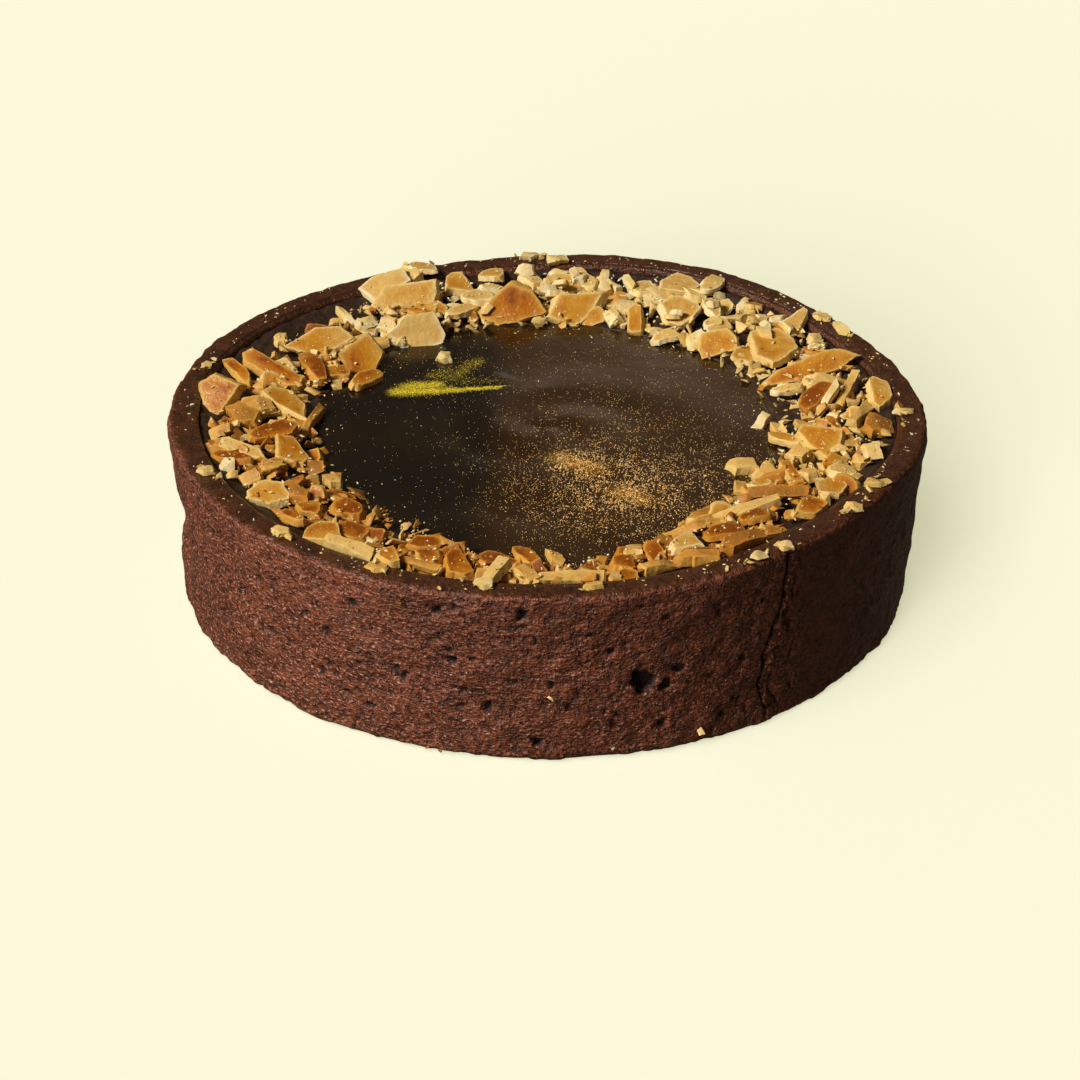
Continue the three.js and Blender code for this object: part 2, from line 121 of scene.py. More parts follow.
def newPiece(name, points, quads, triangles, finish, marks=None, sharp=None):
    # a mesh from points in millimetres, with its finish and its named values on the points
    mesh = bpy.data.meshes.new(name)
    faces = [list(face) for face in quads] + [list(face) for face in triangles]
    mesh.from_pydata((np.asarray(points, float) * mm).tolist(), [], faces)
    mesh.validate()
    mesh.shade_smooth()
    if sharp is not None:
        mesh.set_sharp_from_angle(angle=math.radians(sharp))
    for mark, values in (marks or {}).items():
        layer = mesh.attributes.new(mark, "FLOAT", "POINT")
        layer.data.foreach_set("value", np.asarray(values, np.float32))
    mesh.materials.append(finish)
    piece = bpy.data.objects.new(name, mesh)
    bpy.context.collection.objects.link(piece)
    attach(piece, "root")
    return piece


# shader maths

class Wire:
    # a shader socket that takes part in plain arithmetic
    def __init__(self, finish, socket):
        self.finish = finish
        self.socket = socket

    def reckon(self, operation, first, second):
        return self.finish.add("ShaderNodeMath", {"operation": operation}, {0: first, 1: second})

    def __add__(self, other):
        return self.reckon("ADD", self, other)

    def __sub__(self, other):
        return self.reckon("SUBTRACT", self, other)

    def __rsub__(self, other):
        return self.reckon("SUBTRACT", other, self)

    def __mul__(self, other):
        return self.reckon("MULTIPLY", self, other)

    def __truediv__(self, other):
        return self.reckon("DIVIDE", self, other)

    def __pow__(self, other):
        return self.reckon("POWER", self, other)

    def larger(self, other):
        return self.reckon("MAXIMUM", self, other)

    def over(self, level):
        return self.reckon("GREATER_THAN", self, level)

    __radd__ = __add__
    __rmul__ = __mul__


class Finish:
    # a material, with the one method that adds its nodes
    def __init__(self, name, **fixed):
        self.material = bpy.data.materials.new(name)
        self.material.use_nodes = True
        self.nodes = self.material.node_tree.nodes
        self.shader = self.nodes["Principled BSDF"]
        for socket, value in fixed.items():
            self.shader.inputs[socket.replace("_", " ")].default_value = value

    def add(self, kind, settings=None, inputs=None, out=0):
        node = self.nodes.new(kind)
        for setting, value in (settings or {}).items():
            if setting == "stops":
                self.setStops(node.color_ramp, value)
            else:
                setattr(node, setting, value)
        for socket, value in (inputs or {}).items():
            self.feed(node.inputs[socket], value)
        return Wire(self, node.outputs[out])

    def feed(self, socket, value):
        if isinstance(value, Wire):
            self.material.node_tree.links.new(value.socket, socket)
        else:
            socket.default_value = value

    def setStops(self, ramp, stops):
        while len(ramp.elements) < len(stops):
            ramp.elements.new(1.0)
        for element, (place, colour) in zip(ramp.elements, stops):
            element.position = place
            element.color = (*colour, 1.0)

    def vector(self, operation, first, second, out=0):
        return self.add("ShaderNodeVectorMath", {"operation": operation}, {0: first, 1: second}, out)

    def places(self):
        # the object's own coordinates in millimetres
        return self.vector("MULTIPLY", self.add("ShaderNodeTexCoord", out="Object"), (1 / mm, 1 / mm, 1 / mm))

    def noise(self, places, size, detail=2.0, rough=0.5):
        inputs = {"Vector": places, "Scale": 1 / size, "Detail": detail, "Roughness": rough}
        return self.add("ShaderNodeTexNoise", None, inputs)

    def spots(self, places, size, low, high, rough=0.6):
        # noise cut down to spots, that fade in from low to high
        return self.fade(self.noise(places, size, 2, rough), low, high)

    def fade(self, value, low, high, least=0.0, most=1.0):
        inputs = {"Value": value, "From Min": low, "From Max": high, "To Min": least, "To Max": most}
        return self.add("ShaderNodeMapRange", {"interpolation_type": "SMOOTHSTEP"}, inputs)

    def mark(self, name):
        return self.add("ShaderNodeAttribute", {"attribute_name": name}, out="Fac")

    def mix(self, share, first, second, blend="MIX"):
        colour = [(*c, 1.0) if isinstance(c, tuple) else c for c in (first, second)]
        settings = {"data_type": "RGBA", "blend_type": blend, "clamp_factor": True}
        return self.add("ShaderNodeMix", settings, {0: share, 6: colour[0], 7: colour[1]}, out=2)

    def split(self, vector):
        return [self.add("ShaderNodeSeparateXYZ", None, {0: vector}, out=k) for k in range(3)]

    def brushed(self, places, start, end, widths, ragged):
        # 1 in the middle of a stroke from start to end in plan, fading out to each side and end
        length = math.dist(start, end)
        way = ((end[0] - start[0]) / length, (end[1] - start[1]) / length, 0)
        offset = self.vector("SUBTRACT", places, (*start, 0))
        along = self.vector("DOT_PRODUCT", offset, way, "Value")
        across = self.vector("DOT_PRODUCT", offset, (-way[1], way[0], 0), "Value")
        side = (across ** 2) ** 0.5 + ragged
        width = self.fade(along, 0, length, *widths)
        begun = self.fade(along + ragged, -widths[0], 0)
        ended = self.fade(along + ragged, length + widths[1], length)
        return self.fade(side / width, 1.0, 0.0) * (begun * ended)

    def ramp(self, value, stops):
        return self.add("ShaderNodeValToRGB", {"stops": stops}, {"Fac": value})

    def bump(self, height, distance, strength=1.0, normal=None):
        inputs = {"Height": height, "Distance": distance * mm, "Strength": strength}
        if normal is not None:
            inputs["Normal"] = normal
        return self.add("ShaderNodeBump", None, inputs)

    def surface(self, **inputs):
        for socket, value in inputs.items():
            self.feed(self.shader.inputs[socket.replace("_", " ")], value)
        return self.material


# the tart's own forms, as the solids have them

def rimAt(angle):
    radius = np.full_like(angle, tart["rimRadius"])
    for waves, cosine, sine in tart["outOfRound"]:
        turn = np.radians(waves * angle)
        radius = radius + cosine * np.cos(turn) + sine * np.sin(turn)
    return radius


def grain(angle, height):
    return (0.5 * np.sin(np.radians(11 * angle) + height * 0.21)
            + 0.3 * np.sin(np.radians(23 * angle) - height * 0.37)
            + 0.3 * np.sin(np.radians(41 * angle) + height * 0.55 + 1.3))


def outerWallAt(angle, height):
    straight = tart["baseRadius"] + (rimAt(angle) - tart["baseRadius"]) * height / tart["height"]
    dent = tart["dent"]
    waist = np.exp(-(apart(angle, dent["at"]) / dent["spread"]) ** 2) * dent["depth"]
    waist = waist * smoothStep(height, dent["low"] - 1, dent["low"] + 3)
    waist = waist * (1 - smoothStep(height, dent["low"] + 9, dent["top"]))
    return straight - waist + tart["graininess"] * grain(angle, height)


def innerWallAt(angle):
    return rimAt(angle) - tart["wall"]


def heapInsideAt(angle):
    thin = tart["frontThinning"]
    return tart["heapInside"] + thin["by"] * np.exp(-(apart(angle, thin["at"]) / thin["spread"]) ** 2)


def heapShare(angle, out):
    inside = heapInsideAt(angle)
    return (out - inside) / (innerWallAt(angle) - inside)


def heapRise(angle, out):
    share = heapShare(angle, out)
    bank = tart["heapFoot"] + tart["heapBank"] * smoothStep(share, -0.1, 0.5)
    return bank + (tart["height"] + 1 - tart["fillingLevel"] - bank) * smoothStep(share, 0.75, 1.02)


def heapLean(angle, out):
    return tart["heapLean"] * np.clip(1 - heapShare(angle, out) / 0.6, -0.6, 1)


# the crust

crustLook = dict(
    around=720, wallRows=86, foot=2.0, shoulder=1.8, lip=2.0, seed=5,
    fineColumns=dict(at=-54, spread=4.5, times=4),                  # where the columns stand closer together
    # baked unevenness, all over and by places: its size, its height and its seed
    lumps=[(10, 0.22, 11), (4, 0.24, 12), (2.2, 0.22, 13), (1.3, 0.10, 14)],
    shoulderLumps=[(1.3, 0.24, 32), (3.4, 0.20, 34)], footLumps=[(1.3, 0.30, 31), (5, 0.30, 33)],
    tornLumps=[(0.9, 0.45, 73), (2.2, 0.45, 74)], speckLumps=[(1.4, 0.16, 79)],
    smallPits=420, pitSizes=(1.4, 2.6), pitDepths=(0.4, 1.3),
    smoothTo=-2,                                # from the seam to here the wall is smoother
    dark=(0.043, 0.0118, 0.0050), warm=(0.255, 0.070, 0.0270), fleck=(0.42, 0.165, 0.060),
    # paintedGlint is a painted highlight: pale pinkish dashes standing in for light glinting off the crumb
    paintedGlint=(0.48, 0.24, 0.18), rim=(0.056, 0.0170, 0.0048), rimDark=(0.027, 0.0085, 0.0027),
    # hollow is the painted shade colour put into the pits, the crack and the pores
    hollow=(0.0100, 0.0032, 0.0018),
    roughness=(0.28, 0.52), strokeSlope=0.16,
)

# pits that show, as in the solids: angle, height, width, height of the pit, depth
pits = [
    (-118, 39.5, 2.2, 3, 1.6), (-105, 42, 2.4, 3, 1.8), (-93, 42.5, 2.6, 3.6, 2), (-134, 21, 2.4, 2.6, 1.6),
    (-124, 15.7, 3, 2.6, 1.8), (-103, 28, 2.4, 2.4, 1.6), (-98, 15, 2, 4, 1.6), (-116, 9.5, 2.6, 2.6, 1.8),
    (-89, 22.6, 1.8, 2.6, 1.4), (-91, 5.5, 2, 3, 1.6), (-76, 22, 5.6, 7, 3.6), (-72.5, 20, 3, 3.4, 2),
    (-70.5, 23.5, 2.2, 2.6, 1.6), (-30, 26, 2.2, 4, 1.6), (40, 30, 2.6, 3, 1.6), (75, 18, 3, 3.4, 2),
    (110, 33, 2.4, 3, 1.6), (140, 14, 3, 2.6, 1.8),
]
# the crack down the wall, as angle and height, and how it and the finer one beside it wander and open
seam = dict(
    line=[(-52, 47), (-53, 34), (-56, 23), (-57, 13), (-56, 4)], width=1.0, depth=1.6, apart=2.1,
    wander=[(3.5, 0.30, 71), (1.1, 0.16, 76)], besideWander=[(3, 0.4, 72), (1.0, -0.2, 77)],
    opening=[(2.2, 0.35, 78)], breaks=[(2.6, 0.45, 75)],
)


def crustColumns(around):
    # directions round the tart, closer together along the seam
    fine = crustLook["fineColumns"]
    turns = np.linspace(-180, 180, 3601)
    weight = 1 + fine["times"] * np.exp(-((turns - fine["at"]) / fine["spread"]) ** 2)
    passed = np.concatenate([[0], np.cumsum((weight[1:] + weight[:-1]) / 2)])
    return np.interp(np.arange(around) / around * passed[-1], passed, turns)


def arc(start, end, steps):
    # the cosine and sine of evenly spaced directions
    turns = [math.radians(start + (end - start) * step / (steps - 1)) for step in range(steps)]
    return [(math.cos(turn), math.sin(turn)) for turn in turns]


def crustRows():
    # the section of the crust, from the middle of its underside up the wall, over the rim and down
    # inside: where a row is measured from, how far in from there, its height and the way it faces
    look = crustLook
    foot, shoulder, lip = look["foot"], look["shoulder"], look["lip"]
    top, floor = tart["height"], tart["floor"]
    wall = np.linspace(foot, top - shoulder, look["wallRows"])[1:-1]
    inside = np.linspace(top - lip, tart["fillingLevel"] - 1.5, 9)[1:]
    rows = [("outer", 60, 0, 0, -1), ("outer", 6, 0, 0, -1)]
    rows += [("outer", foot * (1 - c), foot * (1 + s), c, s) for c, s in arc(-90, 0, 6)]
    rows += [("outer", 0, height, 1, 0) for height in wall]
    rows += [("outer", shoulder * (1 - c), top - shoulder * (1 - s), c, s) for c, s in arc(0, 90, 9)]
    rows += [("rim", share, top, 0, 1) for share in (0.2, 0.4, 0.6, 0.8)]
    rows += [("inner", lip * (1 - c), top - lip * (1 - s), -c, s) for c, s in arc(90, 0, 8)]
    rows += [("inner", 0, height, -1, 0) for height in inside]
    return rows + [("inner", 0, floor + 2, -1, 0), ("inner", -2, floor, 0, 1), ("inner", -50, floor, 0, 1)]


def pitRelief(angle, height, marks, warp):
    # sinks ragged pits into the wall
    relief = np.zeros_like(angle)
    for at, up, wide, tall, deep in marks:
        near = (np.abs(apart(angle, at)) < 6) & (np.abs(height - up) < 8)
        across = np.radians(apart(angle[near], at)) * tart["rimRadius"] / (wide / 2) + warp[0][near]
        along = (height[near] - up) / (tall / 2) + warp[1][near]
        hole = deep * (1 - smoothStep(np.hypot(across, along), 0.45, 1.15))
        relief[near] = np.maximum(relief[near], hole)
    return relief


def seamRelief(angle, height):
    # depth of the two cracks that run down the wall side by side, the torn strip between them, and
    # where crumbs have come away beside them
    line = np.array(seam["line"], float)
    places = np.stack([height, height * 0, height * 0], axis=1)
    middle = np.interp(height, line[::-1, 1], line[::-1, 0]) + lumpsOf(places, seam["wander"])
    beside = middle + seam["apart"] + lumpsOf(places, seam["besideWander"])
    opened = seam["width"] * (0.62 + lumpsOf(places, seam["opening"]) + 0.9 * smoothStep(height, 30, 47))
    broken = 0.55 + lumpsOf(places, seam["breaks"])
    depth = np.zeros_like(angle)
    for centre, width, deep in ((middle, opened, seam["depth"]), (beside, 0.8, 0.9 * broken)):
        across = np.radians(apart(angle, centre)) * tart["rimRadius"]
        depth = np.maximum(depth, deep * np.exp(-(across / (width * 0.6)) ** 2))
    between = smoothStep(apart(angle, middle), 0.1, 0.6) * (1 - smoothStep(apart(angle, beside), -0.5, 0.1))
    crumbled = np.exp(-((apart(angle, middle) + 3) / 3.5) ** 2) * 0.8
    inside = smoothStep(height, 1, 4) * (1 - smoothStep(height, 46.5, 47.8))
    return depth * inside, between * inside, np.maximum(between, crumbled) * inside


def buildCrust():
    look = crustLook
    rows, around = crustRows(), look["around"]
    angle = np.tile(crustColumns(around), len(rows))
    fromWhere, inset, height, faceOut, faceUp = (
        np.repeat(np.array([row[k] for row in rows]), around) for k in range(5))
    onOuter, onInner = fromWhere == "outer", fromWhere == "inner"
    outer, inner = outerWallAt(angle, height), innerWallAt(angle)
    rimOuter, rimInner = outer - look["shoulder"], inner + look["lip"]
    acrossRim = rimOuter + (rimInner - rimOuter) * inset
    radius = np.where(onOuter, outer - inset, np.where(onInner, inner + inset, acrossRim))
    points = inPlan(angle, radius, height)

    # the wall is smoother beyond the seam, and rough at its foot and its shoulder
    beyondSeam = smoothStep(apart(angle, seam["line"][0][0] + 1), 0, 3)
    beyondSeam *= smoothStep(-apart(angle, look["smoothTo"]), 0, 10)
    onRim = smoothStep(height, 44, 48)
    shoulder = onOuter * np.exp(-((faceUp - 0.55) / 0.4) ** 2) * smoothStep(height, 44, 46)
    relief = lumpsOf(points, look["lumps"])
    relief *= (1 - 0.5 * onRim) * np.where(onInner, 0.35, 1) * (1 - 0.45 * beyondSeam)
    relief += shoulder * lumpsOf(points, look["shoulderLumps"])
    relief += smoothStep(height, 6, 0.5) * onOuter * lumpsOf(points, look["footLumps"])

    dice = np.random.default_rng(look["seed"])
    small = []
    for _ in range(look["smallPits"]):
        wide = dice.uniform(*look["pitSizes"]) * dice.uniform(0.6, 1)
        small.append((dice.uniform(-180, 180), dice.uniform(3, 44), wide, wide * dice.uniform(0.8, 2.2),
                      dice.uniform(*look["pitDepths"])))
    warp = [0.5 * valueNoise(points, 1.7, 81 + k) for k in range(2)]
    hollow = pitRelief(angle, height, pits + small, warp) * onOuter * (1 - 0.6 * beyondSeam)
    crack, strip, specks = (part * onOuter for part in seamRelief(angle, height))
    relief += strip * lumpsOf(points, look["tornLumps"]) + specks * lumpsOf(points, look["speckLumps"])
    relief = np.where(onOuter & (faceUp < -0.9), 0, relief - hollow - crack)
    points += inPlan(angle, relief * faceOut, relief * faceUp)
    points[:, 2] = np.maximum(points[:, 2], 0)

    points = np.vstack([points, [[0, 0, 0], [0, 0, tart["floor"]]]])
    values = {
        "sunk": np.clip(hollow + crack, 0, 3), "edge": shoulder, "torn": specks,
        "smooth": beyondSeam * (1 - strip),
        "rimTop": onRim * smoothStep(faceUp, 0.55, 0.95) + 0.6 * onInner * (faceUp < 0.95),
    }
    marks = {mark: np.append(value, [0, 0]) for mark, value in values.items()}
    quads, fans = gridFaces(around, len(rows)), fanFaces(around, len(rows))
    piece = newPiece("chocolateCrust", points, quads, fans, crustFinish(), marks)
    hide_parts("crust")
    return piece


def crustFinish():
    look = crustLook
    f = Finish("bakedChocolateCrust", IOR=1.45, Specular_IOR_Level=0.5)
    places = f.places()
    sunk, edge, smooth, rimTop = (f.mark(name) for name in ("sunk", "edge", "smooth", "rimTop"))
    wall = 1 - rimTop
    x, y, z = f.split(places)

    # the crumb runs round the wall in short strokes, a little downhill to the right
    aroundWall = f.add("ShaderNodeMath", {"operation": "ARCTAN2"}, {0: x, 1: y * -1}) * tart["rimRadius"]
    stretched, slope = aroundWall * 0.55, look["strokeSlope"]
    onWall = f.add("ShaderNodeCombineXYZ", None, {0: stretched - z * slope, 1: z + stretched * slope})
    strokes = f.noise(onWall, 0.70, 2, 0.6)
    dashes = f.noise(onWall, 0.62, 1, 0.5)
    wide = f.noise(onWall, 2.1, 3, 0.6)
    broad = f.noise(places, 16, 3)
    patchy = f.noise(places, 4.5, 3, 0.6)
    fine = f.noise(places, 0.9, 3, 0.6)

    grainy = strokes * wall + fine * rimTop
    colour = f.mix(f.fade(grainy * 0.55 + fine * 0.45, 0.39, 0.62), look["dark"], look["warm"])
    colour = f.mix(f.fade(broad, 0.40, 0.72) * 0.4, colour, look["warm"])
    colour = f.mix(f.fade(patchy, 0.60, 0.36) * 0.5, colour, look["dark"])
    # painted highlight: pale dashes where light would glint, most in a band low on the wall and towards the
    # lit left side
    paintedSheenBand = f.fade(wide + broad * 0.5, 0.68, 0.92) * f.fade(z, 38, 24) * f.fade(z, 1, 7)
    paintedGlintShare = paintedSheenBand * 0.6 + f.fade(x, 10, -60) * 0.5 + 0.3
    colour = f.mix(f.fade(dashes, 0.59, 0.68) * paintedGlintShare * wall * (1 - smooth * 0.8), colour, look["paintedGlint"])
    crumbs = f.spots(places, 1.25, 0.70, 0.76) * wall * (1 - smooth * 0.6)
    torn = f.mark("torn") * f.spots(places, 0.8, 0.56, 0.66)
    colour = f.mix(crumbs * 0.55 + torn * 0.6, colour, look["fleck"])
    colour = f.mix(f.fade(z, 4, 0.5) * f.fade(fine, 0.45, 0.6) * 0.5, colour, look["fleck"])
    rimColour = f.mix(f.fade(patchy + fine * 0.5, 0.60, 0.85), look["rimDark"], look["rim"])
    colour = f.mix(rimTop * 0.9, colour, rimColour)
    colour = f.mix(edge * f.fade(fine, 0.45, 0.6) * 0.5, colour, look["warm"])
    colour = f.mix(smooth * 0.35, colour, look["dark"])
    # painted shade: the pits, the crack and small pores darkened to the hollow colour, and made rougher
    pores = f.spots(places, 1.5, 0.43, 0.36) * wall * (1 - smooth * 0.5)
    paintedPitShade = f.fade(sunk + (fine - 0.5) * 1.5, 0.35, 0.75).larger(pores * 0.75)
    colour = f.mix(paintedPitShade * 0.92, colour, look["hollow"])
    low, high = look["roughness"]
    roughness = f.fade(wide, 0.35, 0.65, high, low) + paintedPitShade * 0.3 - rimTop * 0.06
    height = (grainy * 0.6 + dashes * 0.5 + fine - pores * 0.7) * (1 - smooth * 0.5) * (1 - rimTop * 0.5)
    bump = f.bump(height, 0.60, 1.0, f.bump(patchy + wide * 0.8, 1.4, 0.7))
    return f.surface(Base_Color=colour, Roughness=roughness, Normal=bump)


# the ganache

ganacheLook = dict(
    around=240, rings=130,
    swirl=0.10,                                  # height of the soft waves left by the spatula
    dark=(0.0058, 0.0042, 0.0024), brown=(0.0290, 0.0122, 0.0028),
    # the brown to the right of this line is partly the filling's own tone, partly a painted reflection of a
    # sheen
    paintedSheenBorder=(0.06, -14),                          # lean and place of the line between dark and brown
    roughness=(0.12, 0.21),
    lemonGold=(0.98, 0.80, 0.035), oldGold=(0.24, 0.185, 0.008), smoke=(0.10, 0.085, 0.068),
    # where the dust is thick: middle x, middle y, reach, thickness
    dusted=[(19, -36, 36, 0.50), (8, -21, 8, 0.60), (22, -38, 7, 0.5), (20, 0, 45, 0.07)],
    thinDust=0.034,
    # strokes of the yellow powder: start, end, half widths, thickness
    powder=[
        ((-41, 19.5), (-11, 24.2), (2.2, 0.7), 1.15), ((-41, 20), (-14, 23), (5.6, 2.0), 0.92),
        ((-38, 23), (-30, 25), (6.0, 4.5), 0.95), ((-32, 30), (-27, 33), (5.5, 6.0), 0.42),
        ((-26, 30), (-19, 40), (7.0, 5.0), 0.45), ((-30, 28), (-12, 27), (6.5, 2.8), 0.34),
    ],
    smear=dict(start=(-13, 32), end=(-1, 24), widths=(2.5, 3.0)),
    # warm spots in the thickest dust: start, end, half widths
    gilded=[((4, -18), (12, -24), (6, 6)), ((19, -36), (25, -40), (5, 5))], gilt=(0.34, 0.17, 0.018),
)


def ganacheSurface(x, y):
    angle = np.degrees(np.arctan2(y, x))
    out = np.hypot(x, y)
    places = np.stack([x, y, 0 * x], axis=1)
    swirl = np.sin(out * 0.16 + np.radians(angle) * 2 + 2 * valueNoise(places, 30, 41))
    waves = swirl * ganacheLook["swirl"] + 0.12 * valueNoise(places, 17, 42)
    edge = smoothStep(out, innerWallAt(angle) - 2.5, innerWallAt(angle)) * 0.45
    return tart["fillingLevel"] + waves * (1 - smoothStep(out, 80, 90)) + edge


def buildGanache():
    look = ganacheLook
    around, rings = look["around"], look["rings"]
    columns = 360 * np.arange(around) / around - 180
    edge = innerWallAt(columns) + 0.15
    shares = np.linspace(0, 1, rings + 1)[1:][::-1]
    top = inPlan(np.tile(columns, rings), (shares[:, None] * edge).ravel(), 0)
    top[:, 2] = ganacheSurface(top[:, 0], top[:, 1])
    under = tart["floor"] + 0.3
    side = [inPlan(columns, edge - 0.5 - inset, height) for inset, height in ((2, under), (0, under + 2))]
    points = np.vstack([*side, top, [[0, 0, under], [0, 0, tart["fillingLevel"]]]])
    quads, fans = gridFaces(around, rings + 2), fanFaces(around, rings + 2)
    piece = newPiece("ganacheFilling", points, quads, fans, ganacheFinish())
    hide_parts("ganache")
    return piece


def dustFrom(x, y):
    # how thick the gold dust lies at a place
    look = ganacheLook
    thick = look["thinDust"] * (0.35 + 0.65 * smoothStep(x + 0.6 * y, -50, 0))
    for middleX, middleY, reach, amount in look["dusted"]:
        thick = thick + amount * np.exp(-((x - middleX) ** 2 + (y - middleY) ** 2) / (0.5 * reach * reach))
    return thick


def powderFrom(x, y):
    # how thick the brushed yellow powder lies at a place
    thick = np.zeros_like(x)
    for start, end, widths, amount in ganacheLook["powder"]:
        way = np.subtract(end, start) / math.dist(start, end)
        along = ((x - start[0]) * way[0] + (y - start[1]) * way[1]) / math.dist(start, end)
        across = np.abs((y - start[1]) * way[0] - (x - start[0]) * way[1])
        width = np.interp(along, (0, 1), widths)
        inside = smoothStep(along, -0.1, 0) * (1 - smoothStep(along, 1, 1.1))
        thick = np.maximum(thick, amount * inside * (1 - smoothStep(across / width, 0.1, 1)))
    return thick


def ganacheFinish():
    look = ganacheLook
    f = Finish("darkGanache", IOR=1.47, Specular_IOR_Level=0.42)
    places = f.places()
    x, y = f.split(places)[:2]
    broad = f.noise(places, 34, 2)
    soft = f.noise(places, 9, 3)
    lean, turn = look["paintedSheenBorder"]
    # lighter brown to the right of a leaning line: partly the filling's own tone, partly a painted reflection
    # edge
    right = f.fade(x - y * lean + (broad - 0.5) * 8, turn - 5, turn + 5)
    colour = f.mix(f.fade(broad, 0.35, 0.65, 0, 0.25) + right * 0.75, look["dark"], look["brown"])

    # the brush of yellow gold powder, thick along one line and thin in the lobes behind it
    ragged = (f.noise(places, 2.4, 3) - 0.5) * 2.2
    strokes = [f.brushed(places, start, end, widths, ragged) * amount
               for start, end, widths, amount in look["powder"]]
    thick = strokes[0]
    for stroke in strokes[1:]:
        thick = thick.larger(stroke)
    grains = f.noise(places, 0.36, 3, 0.75)
    powder = f.fade(grains * 0.9 + thick * 0.60, 0.62, 1.05) * f.fade(thick, 0.02, 0.25)
    # painted sparkle: some grains of the powder lemon bright among darker old gold
    paintedSparkle = f.spots(places, 0.5, 0.46, 0.58, 0.7)
    smear = look["smear"]
    smoke = f.brushed(places, smear["start"], smear["end"], smear["widths"], ragged) * f.fade(soft, 0.3, 0.6)

    for start, end, widths in look["gilded"]:
        colour = f.mix(f.brushed(places, start, end, widths, ragged) * 0.5, colour, look["gilt"])
    colour = f.mix(smoke * 0.5, colour, look["smoke"])
    colour = f.mix(powder, colour, f.mix(paintedSparkle, look["oldGold"], look["lemonGold"]))
    roughness = f.fade(soft, 0.3, 0.7, *look["roughness"]) + powder * 0.25
    bump = f.bump(soft, 0.35, 0.25, f.bump(f.noise(places, 1.2, 3), 0.05, 0.4))
    bump = f.bump(grains * powder, 0.25, 0.8, bump)
    return f.surface(Base_Color=colour, Roughness=roughness, Normal=bump)


goldLook = dict(flakes=12000, sizes=(0.10, 0.19), tilt=0.3, seed=12, lemon=(0.96, 0.78, 0.06))


def buildGoldDust():
    # the larger specks are real little flakes, three-sided with a point above and below, tipped at random
    look = goldLook
    dice = np.random.default_rng(look["seed"])
    places = dice.uniform(-77, 77, (look["flakes"] * 12, 2))
    x, y = places.T
    inside = np.hypot(x, y) < heapInsideAt(np.degrees(np.arctan2(y, x))) + 1
    clumps = 1 + 0.9 * valueNoise(np.column_stack([places, 0 * x]), 2.2, 91)
    landed = inside & (dice.uniform(size=len(x)) < dustFrom(x, y) * clumps + 0.8 * powderFrom(x, y))
    x, y = places[landed][:look["flakes"]].T
    count = len(x)
    size = dice.uniform(*look["sizes"], count) * np.where(dice.uniform(size=count) < 0.06, 1.5, 1)
    size *= np.interp(dustFrom(x, y), (0.05, 0.5), (0.66, 1.05))
    spin, tip = dice.uniform(0, 2 * math.pi, count), dice.normal(0, look["tilt"], (2, count))
    height = ganacheSurface(x, y) + 0.04
    points = []
    for a, b, c in ((1, 0, 0), (-0.5, 0.87, 0), (-0.5, -0.87, 0), (0, 0, 0.9), (0, 0, -0.6)):
        u, v = a * np.cos(spin) - b * np.sin(spin), a * np.sin(spin) + b * np.cos(spin)
        lift = height + size * (c + u * tip[0] + v * tip[1])
        points.append(np.stack([x + size * u, y + size * v, lift], axis=1))
    points = np.stack(points, axis=1).reshape(-1, 3)
    sides = np.array([(0, 1, 3), (1, 2, 3), (2, 0, 3), (1, 0, 4), (2, 1, 4), (0, 2, 4)])
    faces = (5 * np.arange(count)[:, None, None] + sides).reshape(-1, 3)
    f = Finish("goldDust", Metallic=0.1)
    tint = f.noise(f.places(), 1.5, 1)
    colour = f.ramp(tint, [(0.35, (1.0, 0.50, 0.10)), (0.62, (1.0, 0.72, 0.30))])
    colour = f.mix(f.fade(f.mark("lemon"), 0.08, 0.3), colour, look["lemon"])
    finish = f.surface(Base_Color=colour, Roughness=f.fade(tint, 0.3, 0.7, 0.28, 0.42))
    marks = {"lemon": np.repeat(powderFrom(x, y), 5)}
    piece = newPiece("goldFlecks", points, [], faces.tolist(), finish, marks, sharp=5)
    return piece


# the almonds

